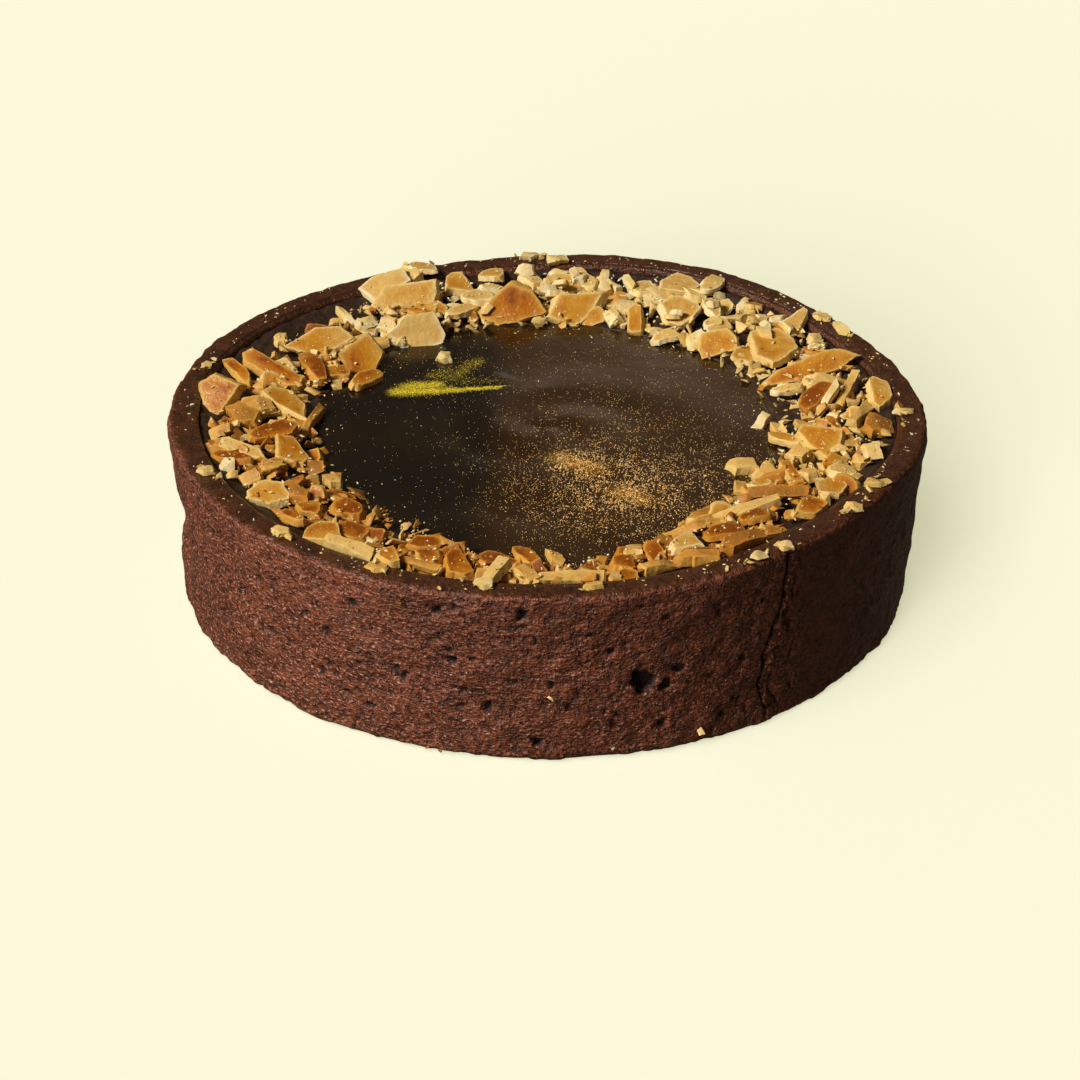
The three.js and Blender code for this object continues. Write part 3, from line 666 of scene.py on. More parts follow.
kinds = dict(
    whole=dict(corners=8, blunt=1.1, thick=2.0, broken=0),
    half=dict(corners=7, blunt=0.85, thick=1.8, broken=0.25),
    wedge=dict(corners=5, blunt=0.9, thick=2.4, broken=0),
    block=dict(corners=5, blunt=0.6, thick=3.0, broken=0.1),
    stick=dict(corners=4, blunt=0.5, thick=2.3, broken=0),
    nib=dict(corners=4, blunt=0.8, thick=2.8, broken=0.1),
    crumb=dict(corners=5, blunt=0.9, thick=2.2, broken=0),
    # drawn, their corners in percent of the length and width
    moon=dict(thick=3.2, drawn=[(-50, 15), (-38, -15), (0, -32), (28, -50), (48, -46), (50, 22), (34, 50),
                                (-42, 38)]),
    rhombus=dict(thick=3.4, drawn=[(-50, 50), (-45, -35), (-5, -50), (50, -50), (2, 50)]),
    sliver=dict(thick=2.6, drawn=[(-50, -30), (-25, -48), (25, -50), (50, -15), (40, 20), (10, 50), (-30, 38),
                                  (-48, 5)]),
    slab=dict(thick=2.4, drawn=[(-50, 25), (-42, -12), (-22, -47), (8, -50), (38, -38), (50, -10), (40, 32),
                                (-20, 50)]),
    leaf=dict(thick=2.0, drawn=[(-50, 50), (-22, -50), (48, -46), (45, 0), (5, 45)]),
    gem=dict(thick=2.2, drawn=[(-50, 20), (-20, -50), (35, -50), (50, -20), (45, 40), (-5, 50)]),
    boat=dict(thick=2.2, drawn=[(-50, -5), (-15, -50), (20, -40), (45, -10), (50, 50), (-25, 50)]),
    tile=dict(thick=2.0, drawn=[(-50, 40), (-45, -50), (40, -50), (50, 10), (-15, 50)]),
    diamond=dict(thick=2.2, drawn=[(-50, -25), (-25, -50), (45, -10), (50, 45), (-30, 50)]),
    plank=dict(thick=2.6, drawn=[(-50, 10), (-48, -45), (40, -50), (50, 0), (40, 42), (-35, 50)]),
    tooth=dict(thick=2.6, drawn=[(-50, -20), (-45, -50), (40, -38), (50, 0), (25, 35), (-30, 50)]),
    plate=dict(thick=2.8, drawn=[(-50, -5), (-48, -50), (50, -48), (40, 30), (5, 50)]),
    fan=dict(thick=2.2, drawn=[(-50, 50), (-50, -20), (-35, -50), (10, -35), (50, -12), (50, 12), (10, 36)]),
    shard=dict(thick=1.8, drawn=[(-50, -50), (-12, -48), (35, -8), (50, 28), (44, 48), (-50, 50)]),
)

# the larger pieces as they lie: kind, angle, distance out, length, width, heading, tip to the front,
# and how toasted, from 0 cream to 1 amber brown
slices = [
    # right side
    ("slab", 5, 91, 12.5, 8, 105, 20, 0.3), ("half", 7, 74, 19, 8.5, 60, 0, 0.9),
    ("stick", 7, 82, 22, 2.8, 70, 20, 0.4), ("stick", 4, 76, 16, 2.4, 60, 30, 0.1),
    ("stick", 1, 86, 21, 3.6, 65, 0, 0.4), ("half", 14, 68, 10, 5, 5, 0, 0),
    ("sliver", 20, 78, 30, 7, 25, 40, 0.55), ("nib", 29, 87, 5, 5, 20, 10, 0.3),
    ("slab", 32, 75, 22, 14, 105, 0, 0.4), ("gem", 36, 83, 9, 8, 125, 10, 0.5),
    ("shard", 36, 89, 11, 6.5, 45, 30, 0.15), ("plank", 43, 67, 12.5, 8.5, 20, 30, 0.45),
    ("wedge", 47, 80, 8, 6, 40, 0, 0.3), ("half", 47, 73, 8, 10, 175, 0, 0.2),
    ("block", 49, 65, 8, 8, 30, 0, 0.15), ("half", 53, 80, 13, 5, 105, 0, 0.1),
    ("half", 57, 62, 9, 7, 25, 0, 0.15), ("half", 58, 91, 11, 7, 65, 10, 0.1),
    # back
    ("slab", 59, 74, 14.5, 13, 120, 10, 0.3), ("block", 60, 86, 11, 7, 115, 0, 0.2),
    ("gem", 64, 88, 12, 12, 55, 10, 0.25), ("wedge", 66, 80, 13, 11, 50, 0, 0.3),
    ("plank", 67, 66, 11, 5.2, 90, 20, 0.5), ("half", 70, 82, 10, 9, 30, 0, 0.2),
    ("block", 71, 72, 8, 8, 160, 0, 0.3), ("nib", 73, 66, 5, 5, 25, 10, 0.05),
    ("stick", 77, 83, 12, 3, 120, 0, 0.05), ("half", 82, 84, 13, 8, 130, 10, 0.05),
    ("rhombus", 83, 69, 16, 15, 70, 30, 0.45), ("tile", 86, 81, 11.5, 8.5, 20, 30, 0.3),
    ("block", 87, 87, 10, 7, 65, 0, 0.1), ("nib", 88, 93, 7, 4, 20, 30, 0.3),
    ("moon", 99, 67, 18.5, 15, 50, 40, 0.72), ("half", 101, 86, 8, 9, 5, 0, 0.3),
    ("block", 102, 78, 9, 8, 50, 0, 0.15), ("half", 106, 74, 10, 9, 25, 0, 0.1),
    ("tooth", 108, 84, 14, 9.5, 105, 10, 0.45), ("half", 111, 69, 12, 6, 35, 0, 0.25),
    ("half", 113, 93, 11, 8, 130, 0, 0.2), ("nib", 116, 89, 6, 5, 125, 20, 0.3),
    # back left
    ("boat", 121, 79, 21, 11.5, 10, 40, 0.3), ("tile", 122, 89, 15.5, 10, 40, 30, 0.1),
    ("gem", 126, 64, 17.5, 12.5, 30, 40, 0.1), ("nib", 130, 71, 6, 5, 170, 10, 0.3),
    ("nib", 134, 74, 7, 4, 30, 30, 0), ("stick", 135, 81, 12, 2.4, 115, 0, 0.2),
    ("leaf", 147, 76, 20, 12, 45, 20, 0.35), ("diamond", 145, 62, 15, 13, 55, 30, 0.55),
    ("half", 154, 56, 13.5, 6, 50, 0, 0.6), ("half", 155, 65, 8, 7, 20, 0, 0.6),
    ("half", 157, 70, 18, 6.5, 110, 0, 0.85), ("plank", 163, 79, 20.5, 7, 145, 30, 0.65),
    ("half", 166, 87, 16.5, 4.8, 120, 10, 0.6),
    # left side
    ("plate", 176, 90, 14, 13, 60, 40, 0.55), ("gem", 176, 70, 19, 7, 135, 10, 0.4),
    ("block", 179, 78, 11, 8, 160, 20, 0.55), ("stick", -177, 64, 24, 2.7, 75, 0, 0.65),
    ("block", -177, 81, 12, 8, 130, 0, 0.7), ("half", -170, 74, 15, 7.5, 30, 10, 0.8),
    ("nib", -171, 87, 7, 4, 20, 30, 0.5), ("diamond", -162, 70, 14.5, 9, 100, 10, 0.45),
    ("gem", -163, 82, 17, 4.6, 150, 20, 0.05), ("half", -161, 86, 13, 5, 160, 0, 0.8),
    ("nib", -156, 78, 7, 5, 30, 20, 0.5), ("nib", -153, 85, 6, 5, 30, 20, 0.45),
    # front left
    ("slab", -146, 85, 12, 8.5, 170, 20, 0.2), ("block", -144, 79, 12.5, 5.5, 120, 0, 0.8),
    ("half", -136, 88, 9, 4, 140, 0, 0.6), ("half", -137, 81, 9, 6.5, 115, 0, 0.6),
    ("half", -132, 74, 11, 7.5, 145, 10, 0.8), ("tooth", -129, 88, 10.5, 10, 95, 0, 0.35),
    ("half", -126, 82, 11.5, 8.5, 155, 0, 0.65), ("stick", -122, 91, 13.5, 3.8, 155, 10, 0.2),
    ("half", -113, 78, 9.5, 5.5, 15, 20, 0.65), ("plate", -115, 92, 7.5, 6, 105, 0, 0.35),
    ("half", -110, 84, 8, 7.5, 100, 0, 0.5), ("stick", -110, 89, 12, 3, 160, 0, 0.5),
    ("tooth", -105, 85, 14.5, 7, 105, 0, 0.7),
    # front
    ("half", -98, 78, 12, 8, 160, 10, 0.75), ("stick", -98, 91, 14, 4.2, 65, 0, 0.1),
    ("half", -93, 73, 14, 5.5, 120, 10, 0.6), ("block", -88, 72, 8, 4, 115, 10, 0.4),
    ("stick", -86, 88, 18, 4.4, 0, 20, 0.25), ("half", -77, 84, 7, 8, 0, 0, 0.7),
    ("stick", -71, 87, 12, 3, 25, 0, 0.45), ("plate", -64, 79, 9, 8.5, 15, 0, 0),
    ("half", -64, 85, 12, 6, 10, 0, 0.6), ("block", -65, 88, 12, 4.5, 0, 0, 0.55),
    # front right
    ("stick", -58, 71, 17, 3.4, 20, 20, 0.5), ("half", -56, 79, 12, 7, 20, 0, 0.85),
    ("block", -56, 87, 13.5, 5, 30, 10, 0.8), ("half", -52, 66, 14.5, 6.5, 35, 0, 0.4),
    ("half", -48, 78, 9, 6, 25, 0, 0.75), ("stick", -46, 74, 19, 4.2, 25, 10, 0.25),
    ("gem", -40, 87, 11, 7, 55, 0, 0.5), ("stick", -37, 74, 18, 3.8, 5, 30, 0.8),
    ("nib", -37, 63, 6, 4, 90, 20, 0.4), ("half", -34, 66, 7, 6, 20, 0, 0.15),
    ("gem", -31, 85, 9, 7, 60, 0, 0.25), ("plank", -28, 72, 14, 4, 105, 0, 0.4),
    ("wedge", -27, 77, 7, 7, 160, 0, 0.35), ("gem", -24, 85, 10, 6, 165, 0, 0.05),
    ("nib", -18, 70, 6, 5, 135, 10, 0.4), ("nib", -16, 89, 6, 5, 100, 20, 0.2),
    ("fan", -12, 74, 13, 13, 145, 20, 0.4), ("half", -10, 65, 12.5, 5.5, 130, 0, 0.3),
    ("block", -6, 89, 8.5, 8.5, 5, 10, 0.85),
]
looseSlices = dict(tries=90, spacing=8, smallest=6, largest=10, seed=20)

chipsOnFilling = [
    ("stick", 2, 58.5, 8, 3.6, 60, 0, 0.1), ("block", -25, 56.5, 9, 7, 10, 0, 0.3),
    ("crumb", 126, 49, 5, 5, 10, 0, 0.25),
]
# on the rim they lie flat: angle, distance out, length, width, heading, how toasted
chipsOnRim = [
    (-156, 95.5, 5.5, 4, 160, 0.1), (-115, 96, 6, 5, 150, 0.4), (-99, 96, 5, 5, 0, 0),
    (-83, 96, 5.5, 3, 10, 0.35), (-133, 96, 6, 4, 135, 0.2), (-2, 96, 7, 3.5, 15, 0.1),
    (29, 96, 8, 4, 110, 0.15), (35, 96, 7, 5, 120, 0.3), (93, 96, 7, 5, 30, 0.25),
    (167, 96, 3, 4, 0, 0.2), (-57, 96, 5, 3.5, 20, 0.1), (-52, 96, 5.5, 3, 150, 0.1),
    (-36, 96, 5.5, 4.5, 5, 0.2), (-27, 95.5, 8, 4.5, 30, 0.3), (114, 96, 8, 6, 10, 0.3),
]
# how high the chips lie over the rim and the filling, and the smaller bits beside each one on the rim
chipsLook = dict(overRim=0.75, overFilling=0.9, bits=4, bitsReach=(2.4, 1.1), bitSizes=(1.0, 2.8))


def flakeOutline(kind, long, wide, dice):
    shape = kinds[kind]
    if "drawn" in shape:
        return np.array(shape["drawn"], float) * (long, wide) / 100
    corners, blunt, broken = shape["corners"], shape["blunt"], shape["broken"]
    start = 0 if blunt > 1 else 0.5

    def bulge(side):
        return math.copysign(abs(side) ** blunt, side)

    points = []
    for corner in range(corners):
        turn = 2 * math.pi * (corner + start + dice.between(-0.18, 0.18)) / corners
        rough = dice.between(0.88, 1)
        points.append((min(bulge(math.cos(turn)) * rough, 1 - 2 * broken), bulge(math.sin(turn)) * rough))
    points = np.array(points)
    low, high = points.min(axis=0), points.max(axis=0)
    return ((points - low) / (high - low) - 0.5) * (long, wide)


almondLook = dict(
    spacing=0.8, chamfer=0.16, bend=0.7, ragged=0.20, uneven=0.12, frontToast=0.13,
    cream=(0.62, 0.41, 0.130), gold=(0.51, 0.235, 0.022), amber=(0.40, 0.120, 0.003),
    brown=(0.22, 0.052, 0.001), cut=(0.70, 0.51, 0.180), goldCut=(0.66, 0.37, 0.066),
    whiteCut=(0.76, 0.67, 0.43), sugar=(0.82, 0.71, 0.46),
    roughness=(0.30, 0.50),
)


class Pile:
    # gathers many small closed bodies into one mesh
    def __init__(self):
        self.points, self.quads, self.triangles = [], [], []
        self.toast, self.cut, self.deep = [], [], []
        self.count = 0

    def add(self, points, quads, triangles, toast, cut, deep=0.5):
        self.points.append(points)
        self.quads += (np.asarray(quads, int).reshape(-1, 4) + self.count).tolist()
        self.triangles += (np.asarray(triangles, int).reshape(-1, 3) + self.count).tolist()
        self.toast.append(np.full(len(points), toast))
        self.cut.append(cut)
        self.deep.append(np.full(len(points), 1.0) * deep)
        self.count += len(points)

    def build(self, name, finish, sharp=34):
        named = (("toast", self.toast), ("cut", self.cut), ("deep", self.deep))
        marks = {mark: np.concatenate(values) for mark, values in named}
        return newPiece(name, np.vstack(self.points), self.quads, self.triangles, finish, marks, sharp)


def softened(outline, brokenAt, share):
    # rounds the corners of an almond's own edge and leaves those of its broken edge crisp
    points = []
    for before, corner, after in zip(np.roll(outline, 1, axis=0), outline, np.roll(outline, -1, axis=0)):
        if corner[0] > brokenAt:
            points.append(corner)
        else:
            points += [corner + (before - corner) * share, corner + (after - corner) * share]
    return np.array(points)


def alongEdges(outline, spacing):
    points = []
    for start, end in zip(outline, np.roll(outline, -1, axis=0)):
        steps = max(1, round(float(np.hypot(*(end - start))) / spacing))
        points += [start + (end - start) * k / steps for k in range(steps)]
    return np.array(points)


def edgeSlopes(outline, thick, most, scatter):
    # how far each side leans in over its height: many a little, some a lot, a few undercut
    slopes = scatter.uniform(0.1, 0.5, len(outline)) * thick
    steep = scatter.uniform(size=len(outline))
    slopes = np.where(steep > 0.62, scatter.uniform(0.6, 1.5, len(outline)) * thick, slopes)
    slopes = np.where(steep < 0.18, -scatter.uniform(0.1, 0.6, len(outline)) * thick, slopes)
    return np.clip(slopes, -most, most)


def pulledIn(points, outline, slopes, share):
    # the outline at one height, each side moved in by its own slope
    for start, end, slope in zip(outline, np.roll(outline, -1, axis=0), slopes):
        way = (end - start) / max(float(np.hypot(*(end - start))), 1e-6)
        out = np.array([way[1], -way[0]])
        inward = slope * share if slope > 0 else -slope * (1 - share)
        excess = np.maximum(points @ out - (start @ out - inward), 0)
        points = points - out * excess[:, None]
    return points


def flakeBlank(kind, long, wide, thick, dice, scatter):
    # one almond piece lying flat: its points ring by ring from below, and which of them are cut faces
    look = almondLook
    outline = flakeOutline(kind, long, wide, dice)
    half = thick * dice.between(0.85, 1.15) / 2
    if kind in ("whole", "half"):
        outline = softened(outline, long * 0.45 if kind == "half" else long, 0.24)
    slopes = edgeSlopes(outline, half, 0.14 * wide, scatter)
    rim = alongEdges(outline, look["spacing"] if long > 7 else 0.6 * look["spacing"])
    around = len(rim)
    ragged = look["ragged"] * min(1, wide / 7) * (0.6 if "drawn" in kinds[kind] else 1)
    wobble = ragged * (0.6 * scatter.normal(size=around) + np.convolve(
        np.tile(scatter.normal(size=around), 3), np.ones(3) / 1.7, "same")[around:2 * around])
    outward = rim / np.maximum(np.hypot(*rim.T), 1e-6)[:, None]
    chamfer = min(look["chamfer"], 0.3 * half)
    rings, cut = [], []
    sections = ((0, chamfer, 1), (0.1, 0, 1), (0.5, 0, 1), (0.92, 0, 1), (1, chamfer, 0.85))
    for share, inset, cutness in sections:
        swell = wobble * (1.2 - 0.5 * share) - inset
        ring = pulledIn(rim, outline, slopes, share) + outward * swell[:, None]
        rings.append(np.column_stack([ring, np.full(around, (2 * share - 1) * half)]))
        cut.append(np.full(around, cutness))
    top = rings[-1]
    for size, cutness in ((0.86, 0.12), (0.6, 0), (0.3, 0)):
        rings.append(top * (size, size, 1) + (0, 0, 0.12 * half * (1 - size * size)))
        cut.append(np.full(around, cutness))
    points = np.vstack([*rings, [[0, 0, -half], [0, 0, 1.12 * half]]])
    cut = np.concatenate([*cut, [1, 0]])

    # broken off slantwise from above: the thicker the piece, the steeper
    steep = 0.12 if kind in ("whole", "half") or "drawn" in kinds[kind] else 0.55
    for _ in range(2 if steep > 0.3 else 1):
        turn = scatter.uniform(0, 2 * math.pi)
        beyond = points[:, 0] * math.cos(turn) + points[:, 1] * math.sin(turn)
        beyond = np.maximum(beyond - scatter.uniform(-0.3, 0.2) * wide, 0)
        limit = np.maximum(half - scatter.uniform(0.2, 1) * steep * beyond, -0.55 * half)
        lowered = points[:, 2] > limit
        cut = np.where(lowered & (steep > 0.3), np.maximum(cut, 0.7), cut)
        points[:, 2] = np.where(lowered, limit, points[:, 2])
    return points, cut, around


def layFlake(pile, row, level, lean, number, thin=1.0):
    # one almond piece laid as the solids lie; gives back its place, for the crumbs on it
    kind, angle, out, long, wide, heading, tip, toast = row
    look = almondLook
    toast += look["frontToast"] * (0.8 - 1.1 * math.sin(math.radians(angle)))
    dice = Dice(1000 + math.floor(131 * (angle + 180) + 17 * out + 7 * long + 0.5))
    scatter = np.random.default_rng(number)
    flat, cut, around = flakeBlank(kind, long, wide, kinds[kind]["thick"] * thin, dice, scatter)
    if kind in ("whole", "half"):
        bend = scatter.uniform(-0.5, 1) * look["bend"] * min(1, long / 14)
        flat[:, 2] += bend * (0.4 - (2 * flat[:, 0] / long) ** 2)
    flat[:, 2] += scatter.normal(0, 0.10) * flat[:, 0] * flat[:, 1] / wide

    # it leans towards the middle of the tart, tips to the front and runs along its heading
    lean, turn, front, heading = (math.radians(value) for value in (lean, angle, tip, heading))
    face = np.array([-math.cos(turn) * math.sin(lean), -math.sin(turn) * math.sin(lean), math.cos(lean)])
    face = np.array([face[0], face[1] * math.cos(front) - face[2] * math.sin(front),
                     face[1] * math.sin(front) + face[2] * math.cos(front)])
    along = np.array([math.cos(heading), math.sin(heading), 0])
    along = along - face * (along @ face)
    along /= np.linalg.norm(along)
    middle = inPlan(angle, out, level)
    points = middle + flat @ np.array([along, np.cross(face, along), face])
    rough = valueNoise(points + 50 * number, 1.2, 61) * look["uneven"] * (0.35 + 0.65 * cut)
    points = points + face * rough[:, None] * 0.6 + (points - middle) * (rough / max(wide, 3))[:, None]

    # one side of a slice is more toasted than the other, and its very edge least
    inward = np.append(np.repeat([0, 0, 0, 0, 0, 0.65, 1.0, 1.0], around), [0.5, 1.0])
    side = scatter.uniform(0, 2 * math.pi)
    sideways = 0.5 + flat[:, 0] / long * math.cos(side) + flat[:, 1] / wide * math.sin(side)
    rings = len(points) // around
    deep = inward * np.clip(sideways, 0, 1)
    pile.add(points, gridFaces(around, rings), fanFaces(around, rings), toast, cut, deep)
    return points[around * 5:], face


def hullOf(points):
    # the convex body round some points, each face split once so that it can be roughened
    shape = bmesh.new()
    for point in points:
        shape.verts.new(point)
    made = bmesh.ops.convex_hull(shape, input=shape.verts)
    unused = dict.fromkeys(made["geom_interior"] + made["geom_unused"])
    spare = [item for item in unused if isinstance(item, bmesh.types.BMVert)]
    bmesh.ops.delete(shape, geom=spare, context="VERTS")
    bmesh.ops.subdivide_edges(shape, edges=shape.edges, cuts=1, use_grid_fill=True)
    bmesh.ops.triangulate(shape, faces=shape.faces)
    bmesh.ops.recalc_face_normals(shape, faces=shape.faces)
    shape.verts.ensure_lookup_table()
    corners = np.array([vertex.co[:] for vertex in shape.verts])
    faces = [[vertex.index for vertex in face.verts] for face in shape.faces]
    shape.free()
    return corners, faces


def turned(points, dice, flat):
    # any turn about the upright, and a tilt that is smaller the flatter the piece lies
    turns = dice.normal(0, flat), dice.normal(0, flat), dice.uniform(0, 2 * math.pi)
    for axis, turn in enumerate(turns):
        cosine, sine = math.cos(turn), math.sin(turn)
        first, second = [k for k in range(3) if k != axis]
        points = points.copy()
        points[:, first], points[:, second] = (points[:, first] * cosine - points[:, second] * sine,
                                               points[:, first] * sine + points[:, second] * cosine)
    return points


def addNib(pile, middle, size, toast, dice, flat=0.5):
    # a broken bit with flat faces
    count = int(dice.integers(8, 13))
    blank = dice.uniform(-1, 1, (count, 3))
    blank /= np.maximum(np.abs(blank).max(axis=1), 0.6)[:, None]
    blank *= np.array([1, dice.uniform(0.45, 0.95), dice.uniform(0.3, 0.6)]) * size / 2
    corners, faces = hullOf(turned(blank, dice, flat))
    corners *= 1 + 0.2 * valueNoise(corners + middle, 0.35 * size, 66)[:, None]
    pile.add(middle + corners, [], faces, toast, np.clip(dice.normal(0.55, 0.3, len(corners)), 0, 1))


def looseFlakes():
    # the smaller flakes between the listed ones, by the rule that the solids follow
    dice = Dice(looseSlices["seed"])
    taken = [(row[1], row[2]) for row in slices]
    loose = []
    for _ in range(looseSlices["tries"]):
        angle = dice.between(-180, 180)
        out = dice.between(heapInsideAt(angle) + 2, innerWallAt(angle) - 3)
        long = dice.between(looseSlices["smallest"], looseSlices["largest"])
        wide = long * dice.between(0.5, 0.9)
        heading = dice.between(0, 180)
        kind = "nib" if dice.between(0, 1) < 0.5 else "wedge"
        gaps = [math.hypot(math.radians(apart(angle, a)) * out, out - o) for a, o in taken]
        if min(gaps) >= looseSlices["spacing"]:
            taken.append((angle, out))
            loose.append((kind, angle, out, long, wide, heading, 0, 0.35))
    return loose


fillerLook = dict(
    seed=33, toasted=dict(middle=0.50, swing=0.27, at=-115),
    flakes=165, flakeKinds=dict(half=0.5, wedge=0.35, stick=0.15), flakeLengths=(6, 11),
    flakeSinks=(1.2, 2.2),
    topFlakes=22, topAngles=(36, 98), topDistances=(68, 86), topLengths=(4.5, 8), topWidths=(3, 5),
    nibs=980, nibSizes=(1.8, 5.2), nibSinks=(0.5, 2.2),
    crumbs=1300, crumbSizes=(0.30, 1.1), crumbsInHeap=0.68, crumbsOnRim=0.18, sprinkled=6,
    # crumbs stuck to the outside of the wall: angle, height, size, how toasted
    onWall=[(-89, 18.8, 1.9, 0.1), (-80, 2.9, 1.6, 0.1), (-67, 4.5, 2.6, 0.1), (-112, 39.3, 1.5, 0.1),
            (-110, 43.2, 2.4, 0.9), (-107, 1.2, 1.4, 0.9), (-105, 1.0, 1.2, 0.9), (-109.5, 1.4, 1.0, 0.9)],
    # at the back left and the back the heap stays clear of the wall: angle, how far in, over how many degrees
    clearOfWall=[(150, 6.5, 24), (85, 3.5, 30)],
)


def toastAt(angle):
    # the front and left are more toasted than the back and right
    toast = fillerLook["toasted"]
    return toast["middle"] + toast["swing"] * math.cos(math.radians(apart(angle, toast["at"])))


def inHeap(dice, inward=0.0):
    # a random place in the heap: its angle, its distance out and the height of the bank there
    angle = dice.uniform(-180, 180)
    inside, outside = heapInsideAt(angle) + inward, innerWallAt(angle) - 2.5
    for at, clear, spread in fillerLook["clearOfWall"]:
        outside -= clear * math.exp(-(apart(angle, at) / spread) ** 4)
    out = inside + (outside - inside) * dice.uniform(0, 1) ** 0.85
    return angle, out, tart["fillingLevel"] + heapRise(angle, out)


def addFillers(pile):
    # flakes and broken bits that fill the bank under and between the listed pieces
    look = fillerLook
    dice = np.random.default_rng(look["seed"])
    flakeKinds, shares = zip(*look["flakeKinds"].items())
    for number in range(look["flakes"]):
        angle, out, level = inHeap(dice, 3)
        long = dice.uniform(*look["flakeLengths"])
        kind = dice.choice(flakeKinds, p=shares)
        row = (kind, angle, out, long, long * dice.uniform(0.45, 0.85), dice.uniform(0, 180),
               dice.normal(8, 22), np.clip(dice.normal(toastAt(angle), 0.25), 0, 1))
        layFlake(pile, row, level - dice.uniform(*look["flakeSinks"]), dice.normal(0, 14), 4000 + number, 0.8)
    for number in range(look["topFlakes"]):
        angle, out = dice.uniform(*look["topAngles"]), dice.uniform(*look["topDistances"])
        level = tart["fillingLevel"] + heapRise(angle, out) + dice.uniform(1.0, 2.2)
        kind = dice.choice(["half", "block", "wedge"])
        long, wide = dice.uniform(*look["topLengths"]), dice.uniform(*look["topWidths"])
        row = (kind, angle, out, long, wide, dice.uniform(0, 180), dice.normal(5, 18), dice.uniform(0, 0.35))
        layFlake(pile, row, level, dice.normal(6, 14), 5000 + number, 0.75)
    for _ in range(look["nibs"]):
        angle, out, level = inHeap(dice)
        size = dice.uniform(*look["nibSizes"])
        level = max(level - dice.uniform(*look["nibSinks"]), tart["fillingLevel"] + 0.25 * size)
        toast = np.clip(dice.normal(toastAt(angle) - 0.08, 0.25), 0, 1)
        addNib(pile, inPlan(angle, out, level), size, toast, dice)


def addCrumbs(pile):
    # dust and crumbs of almond: in and round the heap, on the rim, on the filling and on the wall
    look = fillerLook
    dice = np.random.default_rng(look["seed"] + 1)
    for _ in range(look["crumbs"]):
        angle, out, level = inHeap(dice)
        where = dice.uniform()
        size = dice.uniform(*look["crumbSizes"])
        if where < look["crumbsInHeap"]:
            level += dice.uniform(-1.2, 1.5)
        elif where < look["crumbsInHeap"] + look["crumbsOnRim"]:
            out = innerWallAt(angle) + dice.uniform(1.5, 6)
            size *= 0.75
            level = tart["height"] + 0.2 * size
        else:
            out = heapInsideAt(angle) - abs(dice.normal(0, 3.5))
            size *= 0.5
            level = tart["fillingLevel"] + 0.3 * size
        addCrumb(pile, inPlan(angle, out, level), size, dice)
    for angle, height, size, toast in look["onWall"]:
        addNib(pile, inPlan(angle, outerWallAt(angle, height) + 0.2 * size, height), size, toast, dice)


def addCrumb(pile, middle, size, dice):
    corners = np.array([(1, 0, 0), (0.3, 0.95, 0), (-0.8, 0.6, 0), (-0.8, -0.6, 0), (0.3, -0.95, 0)])
    ring = corners * (dice.uniform(0.8, 1.9), dice.uniform(0.4, 0.9), 0) + dice.normal(0, 0.16, (5, 3))
    points = np.vstack([ring, [[0.1, 0, 0.75], [0, 0.1, -0.7]]]) * size * 0.55
    sides = [(k, (k + 1) % 5, 5) for k in range(5)] + [((k + 1) % 5, k, 6) for k in range(5)]
    pile.add(middle + turned(points, dice, 0.3), [], sides, dice.uniform(0, 0.2), np.full(7, 1.0))


def sprinkle(pile, faceTop, face, count, dice):
    # crumbs and sugar that cling to the top of a piece
    middle = faceTop[-1]
    for _ in range(count):
        corner = faceTop[dice.integers(0, max(1, len(faceTop) // 3))]
        place = middle + (corner - middle) * dice.uniform(0, 1) ** 0.6
        addCrumb(pile, place + face * 0.10, 0.25 + 0.6 * dice.uniform() ** 2, dice)


def almondFinish(name, glow):
    look = almondLook
    f = Finish(name, IOR=1.48, Specular_IOR_Level=0.35, Subsurface_Weight=glow, Subsurface_Scale=0.0015,
               Subsurface_Radius=(1.0, 0.42, 0.10))
    places = f.places()
    toast, cut, deep = (f.mark(name) for name in ("toast", "cut", "deep"))
    patchy = f.noise(places, 5.5, 3)
    mottled = f.noise(places, 2.4, 3, 0.6)
    fine = f.noise(places, 0.8, 3, 0.6)
    deeper = (deep - 0.4) * f.fade(toast, 0.2, 0.7, 0.12, 0.62)
    level = toast + (patchy - 0.5) * 0.8 + (mottled - 0.5) * 0.4 + (fine - 0.5) * 0.12 + deeper
    stops = [(0.05, look["cream"]), (0.42, look["gold"]), (0.78, look["amber"]), (1.0, look["brown"])]
    colour = f.ramp(level, stops)
    pale = cut * f.fade(toast, 0.3, 1.0, 1.0, 0.4) * f.fade(mottled, 0.3, 0.6, 0.6, 1)
    colour = f.mix(pale, colour, f.mix(f.fade(toast, 0.35, 0.95), look["cut"], look["goldCut"]))
    white = cut * f.fade(toast, 0.50, 0.10) * f.fade(patchy, 0.40, 0.6)
    colour = f.mix(white * 0.85, colour, look["whiteCut"])
    skin = f.noise(places, 3.1, 2).over(0.735)
    colour = f.mix(skin * 0.8, colour, look["brown"])
    sugar = f.noise(places, 0.75, 1).over(0.73)
    colour = f.mix(sugar * 0.6, colour, look["sugar"])
    low, high = look["roughness"]
    roughness = f.fade(patchy, 0.3, 0.7, low, high) + cut * 0.15
    bump = f.bump(mottled, 0.8, 0.45, f.bump(fine, 0.22, 0.45))
    return f.surface(Base_Color=colour, Roughness=roughness, Normal=bump)


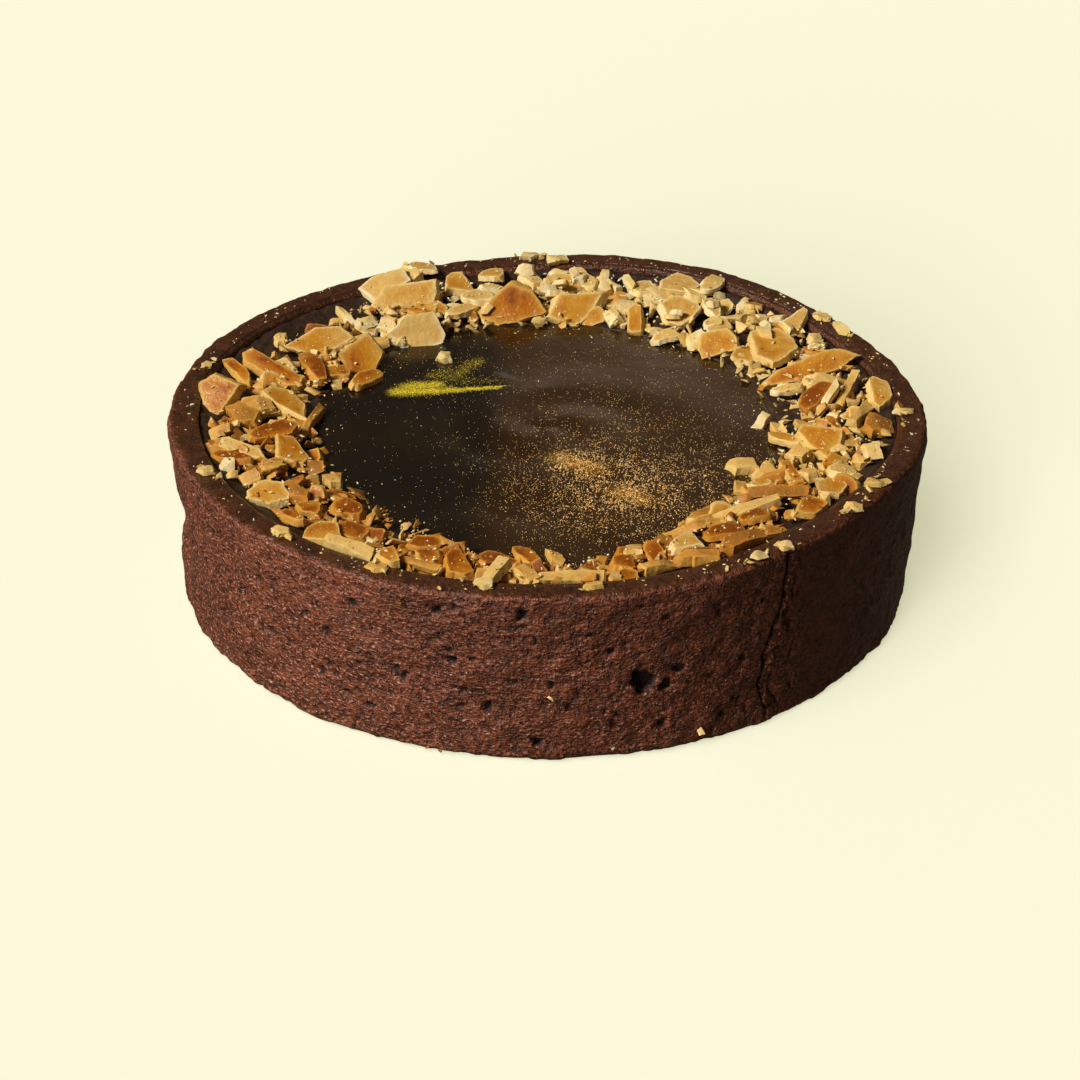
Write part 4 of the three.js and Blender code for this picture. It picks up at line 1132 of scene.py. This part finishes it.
def buildAlmonds():
    finish, crumbFinish = almondFinish("toastedAlmond", 0.15), almondFinish("almondCrumb", 0.0)
    slicePile, fillPile, crumbPile, rimPile, fillingPile = (Pile() for _ in range(5))
    dice = np.random.default_rng(8)
    for number, row in enumerate(slices + looseFlakes()):
        angle, out = row[1], row[2]
        level = tart["fillingLevel"] + heapRise(angle, out)
        faceTop, face = layFlake(slicePile, row, level, heapLean(angle, out), number)
        sprinkle(crumbPile, faceTop, face, int(dice.integers(0, fillerLook["sprinkled"])), dice)
    for number, (angle, out, long, wide, heading, toast) in enumerate(chipsOnRim):
        row = ("crumb", angle, out, long, wide, heading, 0, toast)
        layFlake(rimPile, row, tart["height"] + chipsLook["overRim"], 0, 1000 + number, 0.7)
        for _ in range(chipsLook["bits"]):
            aside, outward = (dice.normal(0, reach) for reach in chipsLook["bitsReach"])
            size = dice.uniform(*chipsLook["bitSizes"])
            place = inPlan(angle + aside, out + outward, tart["height"] + 0.3 * size)
            addNib(rimPile, place, size, dice.uniform(0, 0.5), dice, 0.3)
    for number, row in enumerate(chipsOnFilling):
        layFlake(fillingPile, row, tart["fillingLevel"] + chipsLook["overFilling"], 0, 2000 + number)
    addFillers(fillPile)
    addCrumbs(crumbPile)
    pieces = [
        slicePile.build("almondSlices", finish), fillPile.build("almondBits", finish),
        crumbPile.build("almondCrumbs", crumbFinish, 20), rimPile.build("rimChips", finish),
        fillingPile.build("fillingChips", finish),
    ]
    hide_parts("almonds")
    return pieces


coreLook = dict(
    around=420, rings=26, below=2.9, depth=0.8, lumps=[(2.6, 0.6, 51)],
    # dark is the painted shade colour of the gaps between the pieces; crumb is the colour of the crumb flecks
    dark=(0.0190, 0.0078, 0.0034), crumb=(0.045, 0.018, 0.005),
)


def buildHeapCore():
    # the low bank under the pieces, mostly hidden: crumb flecks on a dark brown that is painted shade, so the
    # gaps between the pieces look dark
    look = coreLook
    around, rings = look["around"], look["rings"]
    columns = 360 * np.arange(around) / around - 180
    inside, outside = heapInsideAt(columns) + 1.5, innerWallAt(columns) - 0.1
    shares = np.linspace(0, 1, rings)
    angle, out = np.tile(columns, rings), (inside + (outside - inside) * shares[:, None]).ravel()
    top = inPlan(angle, out, 0)
    rise = np.maximum(heapRise(angle, out) - look["below"], 0.2) + lumpsOf(top, look["lumps"])
    rise *= smoothStep(np.repeat(shares, around), -0.05, 0.2)
    top[:, 2] = tart["fillingLevel"] + np.maximum(rise, -0.2)
    bottom = [inPlan(columns, edge, tart["fillingLevel"] - look["depth"]) for edge in (outside, inside)]
    quads = gridFaces(around, rings + 2, looped=True)[:, ::-1]
    f = Finish("almondBank")
    grit = f.noise(f.places(), 1.6, 3, 0.6)
    colour = f.mix(f.fade(grit, 0.45, 0.62), look["dark"], look["crumb"])
    finish = f.surface(Base_Color=colour, Roughness=0.6, Normal=f.bump(grit, 0.5, 0.7))
    piece = newPiece("almondBank", np.vstack([top, *bottom]), quads, [], finish)
    return piece


# stage, lights and camera

stageLook = dict(cream=(0.974, 0.947, 0.702), size=8, drop=0.0002)
roomLook = dict(colour=(1.0, 0.81, 0.56), strength=0.09)

# where each sun stands, in degrees round from +X and up, how soft it is and how strong
keySun = dict(turn=211, rise=42, spread=16, strength=4.5, colour=(1.0, 0.95, 0.86))
# the floor has its own two, that cast the shadow to the right and the faint one behind: share of its light
floorSuns = dict(
    rightShadow=dict(share=0.20, turn=224, rise=55, spread=38, colour=(0.95, 0.95, 1.13)),
    backShadow=dict(share=0.19, turn=247, rise=18, spread=32, colour=(0.95, 0.95, 1.13)),
)

# dim panels, seen only as soft sheens: two behind for the filling, one low in front for the wall
panels = dict(
    upperBack=dict(place=(0.11, 1.25, 0.74), width=0.22, height=0.30, power=0.024, colour=(1.0, 0.52, 0.26),
                   lit="chocolate"),
    lowerBack=dict(place=(0.12, 1.25, 0.52), width=0.30, height=0.22, power=0.135, colour=(1.0, 0.74, 0.52),
                   lit="chocolate"),
    lowFront=dict(place=(-0.50, -1.00, 0.10), width=0.60, height=0.25, power=2.4, colour=(1.0, 0.84, 0.86),
                  lit="wall"),
)
panelsLight = dict(
    chocolate=["chocolateCrust", "ganacheFilling", "goldFlecks", "almondBank"], wall=["chocolateCrust"],
)
cameraLook = dict(lens=94.05, sensor=36, place=(0, -0.6759, 0.3964), turns=(59.99, -0.18, 0.22))


def buildStage():
    look = stageLook
    half = look["size"] / 2
    mesh = bpy.data.meshes.new("floor")
    corners = [(-half, -half, 0), (half, -half, 0), (half, half, 0), (-half, half, 0)]
    mesh.from_pydata(corners, [], [(0, 1, 2, 3)])
    floor = bpy.data.objects.new("floor", mesh)
    floor.location.z = -look["drop"]
    floor.visible_diffuse = False
    floor.visible_glossy = False
    bpy.context.collection.objects.link(floor)
    # the floor gives off what its suns and the room leave short of its colour
    glow = []
    for k, tint in enumerate(look["cream"]):
        lit = roomLook["colour"][k] * roomLook["strength"]
        lit += sum(sun["share"] * sun["colour"][k] for sun in floorSuns.values())
        glow.append(tint * (1 - lit))
    f = Finish("paleFloor", Roughness=1.0, Specular_IOR_Level=0.0, Emission_Strength=1.0,
               Base_Color=(*look["cream"], 1), Emission_Color=(*glow, 1))
    mesh.materials.append(f.material)
    return floor


def hangSun(name, look, strength, lit):
    sun = bpy.data.lights.new(name, "SUN")
    sun.energy, sun.color, sun.angle = strength, look["colour"], math.radians(look["spread"])
    holder = bpy.data.objects.new(name, sun)
    holder.rotation_euler = (math.radians(90 - look["rise"]), 0, math.radians(look["turn"] + 90))
    bpy.context.collection.objects.link(holder)
    group = bpy.data.collections.new(name + "Lit")
    for piece in lit:
        group.objects.link(piece)
    holder.light_linking.receiver_collection = group


def buildLights(floor):
    pieces = [piece for piece in bpy.context.scene.objects if piece.type == "MESH" and piece != floor]
    hangSun("keySun", keySun, keySun["strength"], pieces)
    for name, look in floorSuns.items():
        hangSun(name, look, look["share"] * math.pi / math.sin(math.radians(look["rise"])), [floor])

    for group, lit in panelsLight.items():
        pieces = bpy.data.collections.new(group)
        for name in lit:
            pieces.objects.link(bpy.data.objects[name])
    for name, look in panels.items():
        panel = bpy.data.lights.new(name, "AREA")
        panel.shape, panel.size, panel.size_y = "RECTANGLE", look["width"], look["height"]
        panel.energy, panel.color = look["power"], look["colour"]
        holder = bpy.data.objects.new(name, panel)
        holder.location = look["place"]
        holder.rotation_euler = (Vector((0, 0, 0.04)) - holder.location).to_track_quat("-Z", "Y").to_euler()
        bpy.context.collection.objects.link(holder)
        holder.light_linking.receiver_collection = bpy.data.collections[look["lit"]]

    world = bpy.data.worlds.new("softRoom")
    world.use_nodes = True
    background = world.node_tree.nodes["Background"]
    background.inputs["Color"].default_value = (*roomLook["colour"], 1)
    background.inputs["Strength"].default_value = roomLook["strength"]
    bpy.context.scene.world = world


def buildCamera():
    look = cameraLook
    lens = bpy.data.cameras.new("camera")
    lens.lens, lens.sensor_width = look["lens"], look["sensor"]
    camera = bpy.data.objects.new("camera", lens)
    camera.location = look["place"]
    camera.rotation_euler = tuple(math.radians(turn) for turn in look["turns"])
    bpy.context.collection.objects.link(camera)
    bpy.context.scene.camera = camera
    bpy.context.scene.view_settings.view_transform = "Standard"


buildCrust()
print("crust built")
buildGanache()
buildGoldDust()
print("ganache built")
buildHeapCore()
buildAlmonds()
print("almonds built")
buildLights(buildStage())
buildCamera()
print("stage set")
